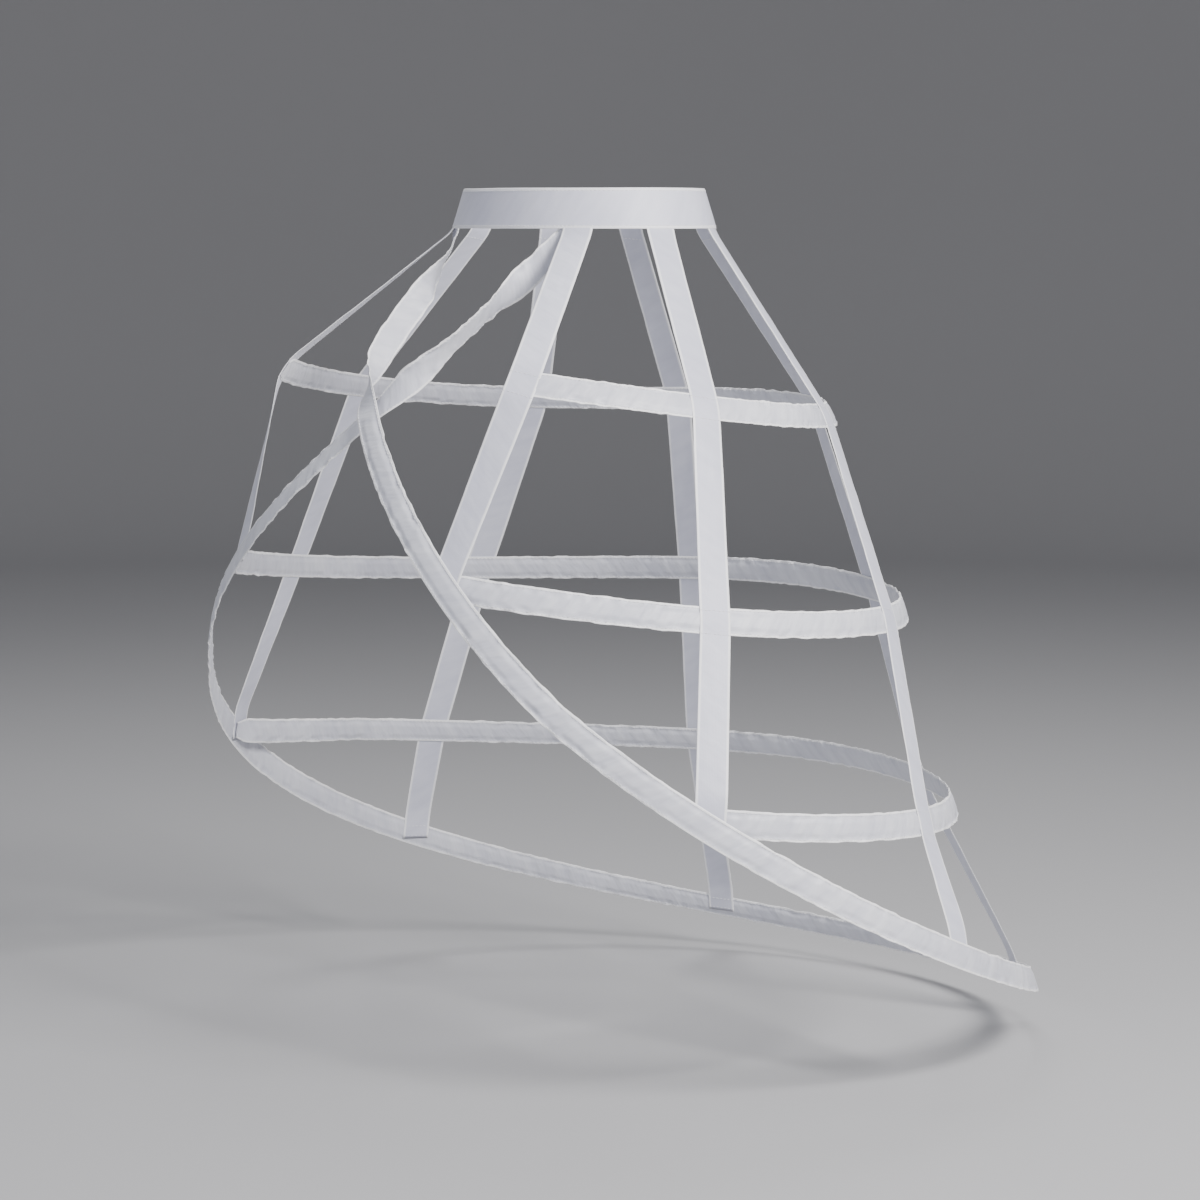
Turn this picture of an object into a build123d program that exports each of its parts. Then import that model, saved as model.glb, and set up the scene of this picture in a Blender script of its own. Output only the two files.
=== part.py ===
from build123d import *
from dataclasses import dataclass
from math import cos, hypot, radians, sin
import os

# Crinoline cage with a crossed front and a train: a ribbon waistband, eight hanging straps,
# three hoops that stop at the open front, and one long hem hoop whose ends cross in front.
# Millimetres, +Z up, front towards -Y, wearer's left towards +X.
# Origin: centre of the waist opening, half way up the waistband.
# Angles are in degrees about the waist axis, from the front (0) by the wearer's left (90).

# Waistband
waist_radius = 110.0
waist_oval = 14.0
waist_taper = 10.0
waistband_height = 33.0
waistband_thickness = 0.8
waistband_lap = 44.0
lap_ramp_angle = 12.0
waistband_steps = 46

# Straps
strap_width = 25.0
strap_thickness = 0.8
strap_tuck = 20.0
strap_exit = 1.5
strap_hem_rise = 26.0
strap_hem_tail = 8.0
strap_run_steps = 8

# Hoop casings and the flat steels inside them
tape_width = 22.0
tape_wall = 0.5
steel_width = 7.0
steel_thickness = 0.8
steel_play = 0.25
steel_end_room = 4.0
tip_wall = 0.2
tip_length = 8.0
tip_fit = 0.2
sewn_gap = 0.5
hoop_end_inset = 2.0
hoop_step_angle = 6.0
hoop_plain_steps = 1

# Upper hoop
upper_radius = 228.0
upper_forward = 30.0
upper_oval = 6.0
upper_drop = 136.0
upper_tilt = 22.0
upper_dip = 9.0

# Middle hoop
middle_radius = 279.0
middle_forward = 20.0
middle_oval = 24.0
middle_drop = 296.0
middle_tilt = 18.5
middle_dip = 11.0
middle_end_angle = 27.5

# Lower hoop
lower_radius = 339.0
lower_forward = 45.0
lower_oval = 16.0
lower_drop = 446.0
lower_tilt = 35.0
lower_dip = 14.0
lower_end_angle = 66.0

# A hoop that ends on the hem hoop is drawn towards it over this angle
hoop_draw_angle = 34.0

# Hem hoop
hem_front_reach = 217.0
hem_train_reach = 376.0
hem_hip_swell = 129.5
hem_front_drop = 147.0
hem_train_drop = 652.0
hem_side_dip = 28.0
hem_lean_angle = 22.0
crossing_room = 7.0
crossing_lean_angle = 42.0
crossing_spread_angle = 60.0
crossing_splay = 17.0
crossing_splay_angle = 48.0
hem_top_angle = 47.0
hem_top_tuck = 12.0
hem_top_steps = 10
hem_top_lean_angle = -48.0
hem_top_flat_share = 0.15
hem_top_twist_share = 0.35
hem_top_turn_share = 0.6

# Strap angles at the waist, at each hoop it crosses, and at the hem hoop
front_angles = (49.5, (41.0,), 27.5)
side_front_angles = (82.5, (75.0, 71.2), 67.5)
side_back_angles = (116.0, (116.5, 109.0, 104.0), 103.5)
back_angles = (152.0, (153.0, 151.0, 149.5), 148.5)

# Skirt hooks and bars of the back closure
hook_metal = 0.4
hook_gap = 0.3
hook_width = 6.0
hook_plate_length = 13.0
hook_tongue_length = 8.0
hook_bar_width = 1.6
hook_bar_span = 9.0
hook_bar_foot = 2.2
hook_spacing = 16.0

# Worked-out sizes
tip_room = tip_fit + tip_wall
slot_width = steel_width + 2 * (tip_room + steel_play)
slot_thickness = steel_thickness + 2 * (tip_room + steel_play)
tape_middle = slot_thickness + 2 * tape_wall
tape_edge = 2 * tape_wall
lap_room = 3 * hook_metal + 4 * hook_gap
waist_edge = -waistband_height / 2
strap_over_tape = (tape_middle + strap_thickness) / 2 + sewn_gap
strap_under_band = (waistband_thickness + strap_thickness) / 2 + sewn_gap
tape_under_strap = strap_over_tape
hem_plain_steps = hem_top_steps + hoop_plain_steps
tangent_step_angle = 0.5
upward = Vector(0, 0, 1)
side_angle = 90.0
back_angle = 180.0
full_turn = 360.0


def polar(angle, radius, height):
    """Point at an angle about the waist axis."""
    turn = radians(angle)
    return Vector(radius * sin(turn), -radius * cos(turn), height)


def square_to(direction, axis):
    """Unit vector nearest to direction that is square to axis."""
    return (direction - axis * direction.dot(axis)).normalized()


def leaning(along, lean_angle):
    """Width direction of a tape that leans in from upright by an angle."""
    upright = square_to(upward, along)
    lean = radians(lean_angle)
    return upright * cos(lean) - along.cross(upright) * sin(lean)


class Line:
    """A line round the cage, given by its point at an angle."""

    def tangent(self, angle):
        ahead = min(angle + tangent_step_angle, self.last_angle)
        behind = max(angle - tangent_step_angle, self.first_angle)
        return (self.point(ahead) - self.point(behind)).normalized()

    def turn(self, angle, distance):
        """Angle that a short distance along the line spans."""
        ahead = self.point(angle + tangent_step_angle)
        behind = self.point(angle - tangent_step_angle)
        return distance * 2 * tangent_step_angle / (ahead - behind).length

    def bow(self, angle, reach, outward):
        """How far the line bows out of a straight piece that reaches this far to each side."""
        turn = self.turn(angle, reach)
        chord_middle = (self.point(angle + turn) + self.point(angle - turn)) * 0.5
        return (self.point(angle) - chord_middle).dot(outward)


@dataclass(frozen=True)
class Ring(Line):
    """A level line of the cage: an oval, moved forward, tilted and dipped at the sides."""

    radius: float
    forward: float
    oval: float
    drop: float
    tilt: float
    dip: float
    first_angle = -2 * full_turn
    last_angle = 2 * full_turn

    def point(self, angle):
        turn = radians(angle)
        reach = self.radius + self.forward * cos(turn) - self.oval * cos(2 * turn)
        height = waist_edge - self.drop + self.tilt * cos(turn) + self.dip * cos(2 * turn)
        return polar(angle, reach, height)


class HemLine(Line):
    """The sloping line of the hem hoop, from the front crossing round the train and back."""

    first_angle = 0
    last_angle = full_turn

    def point(self, angle):
        fold = sin(radians(angle / 2))
        reach = hem_front_reach + (hem_train_reach - hem_front_reach) * fold
        reach += hem_hip_swell * fold * (1 - fold**2)
        drop = hem_front_drop + (hem_train_drop - hem_front_drop) * fold
        drop += hem_side_dip * sin(radians(angle)) ** 2
        return polar(angle, reach, waist_edge - drop) + self.crossing_shift(angle)

    def crossing_shift(self, angle):
        """The starting end passes in front of the finishing end, and both splay out beside the crossing."""
        side = 1 if angle <= back_angle else -1
        from_front = min(angle, full_turn - angle)
        beside = max(0, 1 - from_front / crossing_splay_angle)
        forward = side * crossing_room / 2 * self.crossing_share(angle)
        sideways = side * crossing_splay * sin(radians(180 * beside))
        return polar(0, forward, 0) + polar(side_angle, sideways, 0)

    def crossing_share(self, angle):
        """1 at the crossing, falling to 0 beyond it."""
        from_front = min(angle, full_turn - angle)
        near = max(0, 1 - from_front / crossing_spread_angle)
        return sin(radians(90 * near)) ** 2

    def across(self, angle):
        """Width direction: flat onto the other end at the crossing, leaning with the cage at the train."""
        lean_angle = hem_lean_angle * sin(radians(angle / 2)) ** 2
        lean_angle += crossing_lean_angle * self.crossing_share(angle)
        return leaning(self.tangent(angle), lean_angle)

    def outward(self, angle):
        return self.tangent(angle).cross(self.across(angle))

    def strap_depth(self, angle):
        """Distance from the middle of the hem tape in to the middle of a strap end behind it."""
        outward = self.outward(angle)
        turn = self.turn(angle, strap_width / 2)
        twist = abs((self.across(angle + turn) - self.across(angle - turn)).dot(outward))
        return strap_over_tape + self.bow(angle, strap_width, outward) + twist * tape_width / 2


waist_line = Ring(waist_radius, 0, waist_oval, 0, 0, 0)
upper_line = Ring(upper_radius, upper_forward, upper_oval, upper_drop, upper_tilt, upper_dip)
middle_line = Ring(middle_radius, middle_forward, middle_oval, middle_drop, middle_tilt, middle_dip)
lower_line = Ring(lower_radius, lower_forward, lower_oval, lower_drop, lower_tilt, lower_dip)
hem_line = HemLine()


@dataclass(frozen=True)
class Hoop(Line):
    """An open hoop between the line above it and the line below it."""

    line: Ring
    above: Line
    below: Line
    end_angle: float
    ends_on_hem: bool

    @property
    def first_angle(self):
        return self.end_angle

    @property
    def last_angle(self):
        return full_turn - self.end_angle

    def pull(self, angle):
        """How far the hoop is drawn to the hem hoop: 1 at its ends, 0 where it runs free."""
        if not self.ends_on_hem:
            return 0
        from_front = min(angle, full_turn - angle)
        near = max(0, 1 - (from_front - self.end_angle) / hoop_draw_angle)
        return sin(radians(90 * near)) ** 2

    def end(self, angle):
        """The end of the hoop on the same side as an angle."""
        return self.first_angle if angle <= back_angle else self.last_angle

    def point(self, angle):
        free = self.line.point(angle)
        pull = self.pull(angle)
        if pull == 0:
            return free
        end = self.end(angle)
        depth = hem_line.strap_depth(end) + tape_under_strap
        seat = hem_line.point(end) - hem_line.outward(end) * depth
        return free + (seat - self.line.point(end)) * pull

    def plane(self, angle):
        """Section plane: x across the tape and z along it."""
        along = self.tangent(angle)
        across = square_to(self.above.point(angle) - self.below.point(angle), along)
        pull = self.pull(angle)
        flat = hem_line.outward(self.end(angle)).cross(along).normalized()
        across = square_to(across * (1 - pull) + flat * pull, along)
        return Plane(origin=self.point(angle), x_dir=across, z_dir=along)

    def planes(self):
        span = self.last_angle - self.first_angle
        count = round(span / hoop_step_angle)
        return [self.plane(self.first_angle + span * step / count) for step in range(count + 1)]

    def outward(self, angle):
        """Outward normal of the tape."""
        plane = self.plane(angle)
        return plane.z_dir.cross(plane.x_dir)


upper_strap_angle = front_angles[1][0]
upper_end_angle = upper_strap_angle - upper_line.turn(upper_strap_angle, strap_width / 2 - hoop_end_inset)
upper_hoop = Hoop(upper_line, waist_line, middle_line, upper_end_angle, False)
middle_hoop = Hoop(middle_line, upper_line, lower_line, middle_end_angle, True)
lower_hoop = Hoop(lower_line, middle_line, hem_line, lower_end_angle, True)
hoops = (upper_hoop, middle_hoop, lower_hoop)


def band_normal(angle):
    """Outward normal of the waistband, which narrows upwards by its taper."""
    level = waist_line.tangent(angle).cross(upward)
    return (level * waistband_height + upward * waist_taper).normalized()


def band_down(angle):
    """Direction down the face of the waistband."""
    level = waist_line.tangent(angle).cross(upward)
    return (level * waist_taper - upward * waistband_height).normalized()


def band_depth(angle):
    """Distance from the middle of the waistband in to the middle of a flat strap behind it."""
    return strap_under_band + waist_line.bow(angle, strap_width / 2, band_normal(angle))


def ribbon(planes, outline):
    """Solid ribbon through a row of section planes."""
    return loft([plane * outline for plane in planes], ruled=True)


def tape_outline():
    """Casing section: two layers sewn flat at both edges, raised over the steel."""
    flat = tape_width / 2
    raised = slot_width / 2 + tape_wall
    corner = [(flat, tape_edge / 2), (raised, tape_middle / 2)]
    top = corner + [(-x, y) for x, y in reversed(corner)]
    return make_face(Polyline(*top, *[(-x, -y) for x, y in top], close=True))


def casing(planes, plain_steps):
    """Hoop casing, plain and closed at both ends, with the channel for its steel between them."""
    channel = ribbon(planes[plain_steps:-plain_steps], Rectangle(slot_width, slot_thickness))
    return ribbon(planes, tape_outline()) - channel


def steel_planes(planes, plain_steps):
    """Section planes of a steel, which stops short of both ends of its channel."""
    inner = planes[plain_steps:-plain_steps]
    return [moved_in(inner[0], inner[1])] + inner[1:-1] + [moved_in(inner[-1], inner[-2])]


def moved_in(end, neighbour):
    """The end plane of a channel, moved in by the room that a steel leaves there."""
    inward = (neighbour.origin - end.origin).normalized() * steel_end_room
    return Plane(end.origin + inward, end.x_dir, end.z_dir)


def steel_tip(end, neighbour):
    """Cap over one end of a steel."""
    out = (end.origin - neighbour.origin).normalized()
    seat = Plane(end.origin, square_to(end.x_dir, out), out)
    pocket_depth = tip_length - tip_room
    pocket = Rectangle(steel_width + 2 * tip_fit, steel_thickness + 2 * tip_fit)
    shell = Rectangle(steel_width + 2 * tip_room, steel_thickness + 2 * tip_room)
    cap = extrude(seat * shell, tip_room) + extrude(seat * shell, -pocket_depth)
    return cap - extrude(seat * pocket, tip_fit) - extrude(seat * pocket, -pocket_depth)


def hem_top(side):
    """Section planes from the waistband down to the front crossing, for one end of the hem hoop.

    The tape lies flat under the waistband, leans out half way down, and turns over to the crossing.
    """
    angle = side * hem_top_angle
    crossing_at = 0 if side < 0 else full_turn
    outward = band_normal(angle)
    corner = hypot(hem_top_tuck, tape_width / 2)
    depth = band_depth(angle) + tape_under_strap + waist_line.bow(angle, corner, outward)
    seat = waist_line.point(angle) - outward * depth
    crossing = hem_line.point(crossing_at)
    down = square_to(crossing - seat, outward)
    top = seat - down * hem_top_tuck
    rise = Spline(top, crossing, tangents=(down, hem_line.tangent(crossing_at) * -side))
    planes = []
    for step in range(hem_top_steps):
        share = step / hem_top_steps
        along = (rise % share) * -side
        twist = min(1, max(0, 1 - (share - hem_top_flat_share) / hem_top_twist_share))
        turned = max(0, (share - hem_top_turn_share) / (1 - hem_top_turn_share))
        lean_angle = crossing_lean_angle
        lean_angle += (hem_top_lean_angle - crossing_lean_angle) * cos(radians(90 * turned)) ** 2
        flat = outward.cross(along).normalized()
        across = leaning(along, lean_angle) * (1 - twist) + flat * twist
        planes.append(Plane(rise @ share, square_to(across, along), along))
    return planes if side < 0 else list(reversed(planes))


def hem_planes():
    """Section planes of the whole hem hoop, from one waist end to the other."""
    count = round(full_turn / hoop_step_angle)
    around = []
    for step in range(count + 1):
        angle = full_turn * step / count
        around.append(Plane(hem_line.point(angle), hem_line.across(angle), hem_line.tangent(angle)))
    return hem_top(-1) + around + hem_top(1)


def strap(side, angles):
    """Hanging strap: inside the waistband, outside the hoops and inside the hem hoop."""
    waist_angle, hoop_angles, hem_angle = angles
    at_waist = side * waist_angle
    normals = [band_normal(at_waist)]
    seats = [waist_line.point(at_waist) - normals[0] * band_depth(at_waist)]
    for hoop, hoop_angle in zip(hoops, hoop_angles):
        at_hoop = hoop_angle if side > 0 else full_turn - hoop_angle
        normals.append(hoop.outward(at_hoop))
        seats.append(hoop.point(at_hoop) + normals[-1] * strap_over_tape)
    at_hem = hem_angle if side > 0 else full_turn - hem_angle
    normals.append(hem_line.outward(at_hem))
    seats.append(hem_line.point(at_hem) - normals[-1] * hem_line.strap_depth(at_hem))
    planes = []
    final = len(seats) - 1
    for place, (seat, normal) in enumerate(zip(seats, normals)):
        if place == 0:
            along, before, after = band_down(at_waist), strap_tuck, strap_exit
        elif place == final:
            along, before, after = seat - seats[place - 1], strap_hem_rise, strap_hem_tail
        else:
            along, before, after = seats[place + 1] - seats[place - 1], tape_width / 2, tape_width / 2
        along = square_to(along, normal)
        across = along.cross(normal)
        top = Plane(seat - along * before, across, along)
        if planes:
            planes += between(planes[-1], top)
        planes += [top, Plane(seat + along * after, across, along)]
    return ribbon(planes, Rectangle(strap_width, strap_thickness))


def between(first, last):
    """Section planes of the straight run from one plane to another, turning evenly."""
    along = (last.origin - first.origin).normalized()
    planes = []
    for step in range(1, strap_run_steps):
        share = step / strap_run_steps
        across = first.x_dir * (1 - share) + last.x_dir * share
        origin = first.origin + (last.origin - first.origin) * share
        planes.append(Plane(origin, square_to(across, along), along))
    return planes


def waistband():
    """Waist ribbon, narrowing upwards, with its ends lapped at the back."""
    lap_angle = waist_line.turn(back_angle, waistband_lap / 2)
    start = -back_angle - lap_angle
    span = full_turn + 2 * lap_angle
    planes = []
    for step in range(waistband_steps + 1):
        angle = start + span * step / waistband_steps
        to_lap = (angle - (back_angle - lap_angle - lap_ramp_angle)) / lap_ramp_angle
        lift = sin(radians(90 * min(1, max(0, to_lap)))) ** 2 * (waistband_thickness + lap_room)
        normal = band_normal(angle)
        centre = waist_line.point(angle) - band_down(angle) * slant_height() / 2 + normal * lift
        along = waist_line.tangent(angle)
        planes.append(Plane(centre, -band_down(angle), along))
    return ribbon(planes, Rectangle(slant_height(), waistband_thickness))


def slant_height():
    """Width of the waist ribbon, measured on its slope."""
    return hypot(waistband_height, waist_taper)


def closure_plane():
    """On the outer face of the inner lap at the back: x along the band, z outward."""
    normal = band_normal(back_angle)
    middle = waist_line.point(back_angle) - band_down(back_angle) * slant_height() / 2
    return Plane(middle + normal * waistband_thickness / 2, waist_line.tangent(back_angle), normal)


def skirt_hook(height):
    """Flat hook on the outer lap, its tongue under the bar."""
    tongue = hook_gap + hook_metal / 2
    plate = lap_room - hook_gap - hook_metal / 2
    turn = -hook_tongue_length / 2
    line = Polyline(
        (turn + hook_tongue_length, tongue),
        (turn, tongue),
        (turn, plate),
        (turn + hook_plate_length, plate),
    )
    hook = extrude(Plane.XZ * trace(line, hook_metal), hook_width / 2, both=True)
    return closure_plane().location * Pos(0, height, 0) * hook


def skirt_bar(height):
    """Bar on the inner lap: two feet and the bridge that holds the tongue."""
    foot = hook_gap + hook_metal / 2
    bridge = foot + hook_metal + hook_gap
    half = [(hook_bar_span / 2, bridge), (hook_bar_span / 2, foot), (hook_bar_span / 2 + hook_bar_foot, foot)]
    line = Polyline(*[(-y, z) for y, z in reversed(half)], *half)
    bar = extrude(Plane.YZ * trace(line, hook_metal), hook_bar_width / 2, both=True)
    return closure_plane().location * Pos(0, height, 0) * bar


def save(name, solids):
    """Write one node as a group of its separate solids."""
    export_step(Compound(children=list(solids)), os.path.join("parts", name + ".step"))


os.makedirs("parts", exist_ok=True)

save("waistband", [waistband()])

strap_sets = (
    ("front", front_angles),
    ("side_front", side_front_angles),
    ("side_back", side_back_angles),
    ("back", back_angles),
)
for place, angles in strap_sets:
    save(f"{place}_strap_left", [strap(1, angles)])
    save(f"{place}_strap_right", [strap(-1, angles)])

tips = []
tape_sets = (
    ("upper_hoop", upper_hoop.planes(), hoop_plain_steps),
    ("middle_hoop", middle_hoop.planes(), hoop_plain_steps),
    ("lower_hoop", lower_hoop.planes(), hoop_plain_steps),
    ("hem_hoop", hem_planes(), hem_plain_steps),
)
for name, planes, plain_steps in tape_sets:
    save(f"{name}_casing", [casing(planes, plain_steps)])
    inner = steel_planes(planes, plain_steps)
    save(f"{name}_steel", [ribbon(inner, Rectangle(steel_width, steel_thickness))])
    tips.append(steel_tip(inner[0], inner[1]))
    tips.append(steel_tip(inner[-1], inner[-2]))
save("steel_tips", tips)

heights = (-hook_spacing / 2, hook_spacing / 2)
save("skirt_hooks", [skirt_hook(height) for height in heights])
save("skirt_bars", [skirt_bar(height) for height in heights])
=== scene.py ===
"""Crinoline cage: ribbons, sewn casings, stitching and back closure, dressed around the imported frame."""

import logging
import math
from dataclasses import dataclass, field, replace
from enum import Enum
from typing import Callable, Optional, Sequence, Union

import bpy
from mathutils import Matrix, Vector
from mathutils.bvhtree import BVHTree


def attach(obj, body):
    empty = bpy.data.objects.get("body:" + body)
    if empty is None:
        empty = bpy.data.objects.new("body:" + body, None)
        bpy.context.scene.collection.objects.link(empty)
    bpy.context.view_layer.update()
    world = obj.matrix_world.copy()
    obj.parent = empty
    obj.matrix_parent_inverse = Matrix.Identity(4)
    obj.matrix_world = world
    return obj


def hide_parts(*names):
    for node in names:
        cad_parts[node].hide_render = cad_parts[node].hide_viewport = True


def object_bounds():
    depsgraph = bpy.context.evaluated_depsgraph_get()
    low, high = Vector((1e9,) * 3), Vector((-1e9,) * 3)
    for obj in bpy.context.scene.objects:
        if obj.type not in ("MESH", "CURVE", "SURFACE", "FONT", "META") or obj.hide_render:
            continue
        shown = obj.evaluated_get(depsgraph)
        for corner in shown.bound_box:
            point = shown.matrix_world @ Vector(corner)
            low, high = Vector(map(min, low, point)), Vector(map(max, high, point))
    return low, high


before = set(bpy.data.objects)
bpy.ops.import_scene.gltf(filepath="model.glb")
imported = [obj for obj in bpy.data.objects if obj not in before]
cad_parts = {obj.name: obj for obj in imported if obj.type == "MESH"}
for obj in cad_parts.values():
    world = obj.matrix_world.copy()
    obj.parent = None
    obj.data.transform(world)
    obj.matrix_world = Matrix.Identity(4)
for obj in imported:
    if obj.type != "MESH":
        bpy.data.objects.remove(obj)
CAD_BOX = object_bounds()

LOG = logging.getLogger("crinoline_cage")
MILLIMETRE = 0.001
FULL_TURN = 360.0
BACK = 180.0
QUARTER_TURN = 90.0
TANGENT_STEP = 0.25
UP = Vector((0.0, 0.0, 1.0))
BODY = "root"

Colour = tuple[float, float, float]
Span = tuple[float, float]
Row = list[tuple[Vector, Vector]]
Socket = bpy.types.NodeSocket
Value = Union[Socket, float, int, str, tuple, bpy.types.Material]
Inputs = dict[Union[str, int], Value]


class Slot(Enum):
    """Material slots of the record."""

    WAIST = "waist_ribbon"
    STRAP = "strap_ribbon"
    TAPE = "hoop_tape"


class Held(Enum):
    """How a ribbon is held in the finished cage."""

    HUNG = "hung"
    STRETCHED = "stretched"


class Side(Enum):
    """Wearer's side, with the sign of its X."""

    LEFT = 1
    RIGHT = -1


# Small helpers for places and directions


def polar(angle: float, radius: float, height: float) -> Vector:
    """Point at an angle about the waist axis.

    Args:
        angle: Degrees from the front, by the wearer's left.
        radius: Distance from the axis.
        height: Height, in the same unit.

    Returns:
        The point.
    """
    turn = math.radians(angle)
    return Vector((radius * math.sin(turn), -radius * math.cos(turn), height))


def square_to(direction: Vector, axis: Vector) -> Vector:
    """Unit vector nearest to a direction that is square to a unit axis."""
    return (direction - axis * direction.dot(axis)).normalized()


def leaning(along: Vector, lean_angle: float) -> Vector:
    """Width direction of a tape that leans in from upright.

    Args:
        along: Direction of the tape.
        lean_angle: Degrees from upright.

    Returns:
        The unit vector up the tape.
    """
    upright = square_to(UP, along)
    lean = math.radians(lean_angle)
    return upright * math.cos(lean) - along.cross(upright) * math.sin(lean)


def smooth(value: float) -> float:
    """Smooth step from 0 to 1 as the value goes from 0 to 1."""
    share = min(1.0, max(0.0, value))
    return share * share * (3.0 - 2.0 * share)


def swell(share: float) -> float:
    """Squared sine that rises from 0 to 1 as the share goes from 0 to 1."""
    return math.sin(math.radians(QUARTER_TURN * min(1.0, max(0.0, share)))) ** 2


def hermite(start: Vector, leave: Vector, end: Vector, arrive: Vector, share: float) -> Vector:
    """Point of a cubic between two places.

    Args:
        start: First place.
        leave: Velocity there.
        end: Last place.
        arrive: Velocity there.
        share: How far along, from 0 to 1.

    Returns:
        The point.
    """
    square, cube = share**2, share**3
    point = start * (2 * cube - 3 * square + 1) + leave * (cube - 2 * square + share)
    return point + end * (3 * square - 2 * cube) + arrive * (cube - square)


# Sizes that the cloth pieces share, in millimetres


@dataclass(frozen=True)
class WaistSizes:
    """Sizes of the waistband."""

    height: float = 33.0
    taper: float = 10.0
    lap: float = 44.0
    lap_ramp_angle: float = 12.0
    lap_lift: float = 3.2

    @property
    def slant(self) -> float:
        """Width of the ribbon, measured on its slope."""
        return math.hypot(self.height, self.taper)


@dataclass(frozen=True)
class Fit:
    """Half thicknesses of the cloth pieces and the ease between sewn layers."""

    band_half: float = 0.35
    strap_half: float = 0.28
    tape_flat_half: float = 0.35
    tape_lift: float = 0.95
    tape_half_width: float = 11.0
    strap_half_width: float = 12.5
    ease: float = 0.12
    sewn_depth: float = 2.45
    band_depth: float = 1.3

    @property
    def strap_to_tape(self) -> float:
        """Distance between the middles of a strap and a casing that lie on each other."""
        return self.tape_flat_half + self.tape_lift + self.strap_half + self.ease

    @property
    def strap_to_band(self) -> float:
        """Distance between the middles of a strap and the waistband."""
        return self.band_half + self.strap_half + self.ease

    @property
    def end_to_hem(self) -> float:
        """Distance from the hem's middle to the flat end of a hoop, with a strap between them."""
        return self.strap_to_tape + self.strap_half + self.tape_flat_half + 2 * self.ease

    @property
    def end_to_band(self) -> float:
        """Distance from the waistband's middle to the flat end of the hem, with a strap between them."""
        return self.strap_to_band + self.strap_half + self.tape_flat_half + 2 * self.ease


WAIST = WaistSizes()
FIT = Fit()


# Lines that the ribbons follow, in millimetres


class Line:
    """A line round the cage, given by its point at an angle."""

    first_angle: float = -2 * FULL_TURN
    last_angle: float = 2 * FULL_TURN

    def point(self, angle: float) -> Vector:
        """Point of the line at an angle."""
        raise NotImplementedError

    def tangent(self, angle: float) -> Vector:
        """Direction of the line.

        Args:
            angle: Degrees from the front.

        Returns:
            The unit tangent towards growing angles.
        """
        ahead = min(angle + TANGENT_STEP, self.last_angle)
        behind = max(angle - TANGENT_STEP, self.first_angle)
        return (self.point(ahead) - self.point(behind)).normalized()

    def turn(self, angle: float, distance: float) -> float:
        """Angle in degrees that a short distance along the line spans."""
        span = (self.point(angle + TANGENT_STEP) - self.point(angle - TANGENT_STEP)).length
        return distance * 2 * TANGENT_STEP / span

    def curvature(self, angle: float, reach: float, outward: Vector) -> float:
        """Curvature of the line seen along its tape.

        Args:
            angle: Degrees from the front.
            reach: Millimetres to each side over which it is measured.
            outward: Outward normal of the tape.

        Returns:
            One over the radius, in one over millimetres.
        """
        step = self.turn(angle, reach)
        middle = (self.point(angle + step) + self.point(angle - step)) * 0.5
        return 2.0 * (self.point(angle) - middle).dot(outward) / reach**2


@dataclass(frozen=True)
class LevelLine(Line):
    """An oval, moved forward, tilted and dipped at the sides.

    Attributes:
        radius: Mean radius.
        forward: How far it is moved to the front.
        oval: How much wider than deep it is.
        drop: Height below the waistband's lower edge.
        tilt: How much higher the front is.
        dip: How much lower the sides are.
    """

    radius: float
    forward: float = 0.0
    oval: float = 0.0
    drop: float = 0.0
    tilt: float = 0.0
    dip: float = 0.0

    def point(self, angle: float) -> Vector:
        """Point of the oval.

        Args:
            angle: Degrees from the front.

        Returns:
            The point.
        """
        turn = math.radians(angle)
        reach = self.radius + self.forward * math.cos(turn) - self.oval * math.cos(2 * turn)
        height = -WAIST.height / 2 - self.drop + self.tilt * math.cos(turn) + self.dip * math.cos(2 * turn)
        return polar(angle, reach, height)


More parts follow.
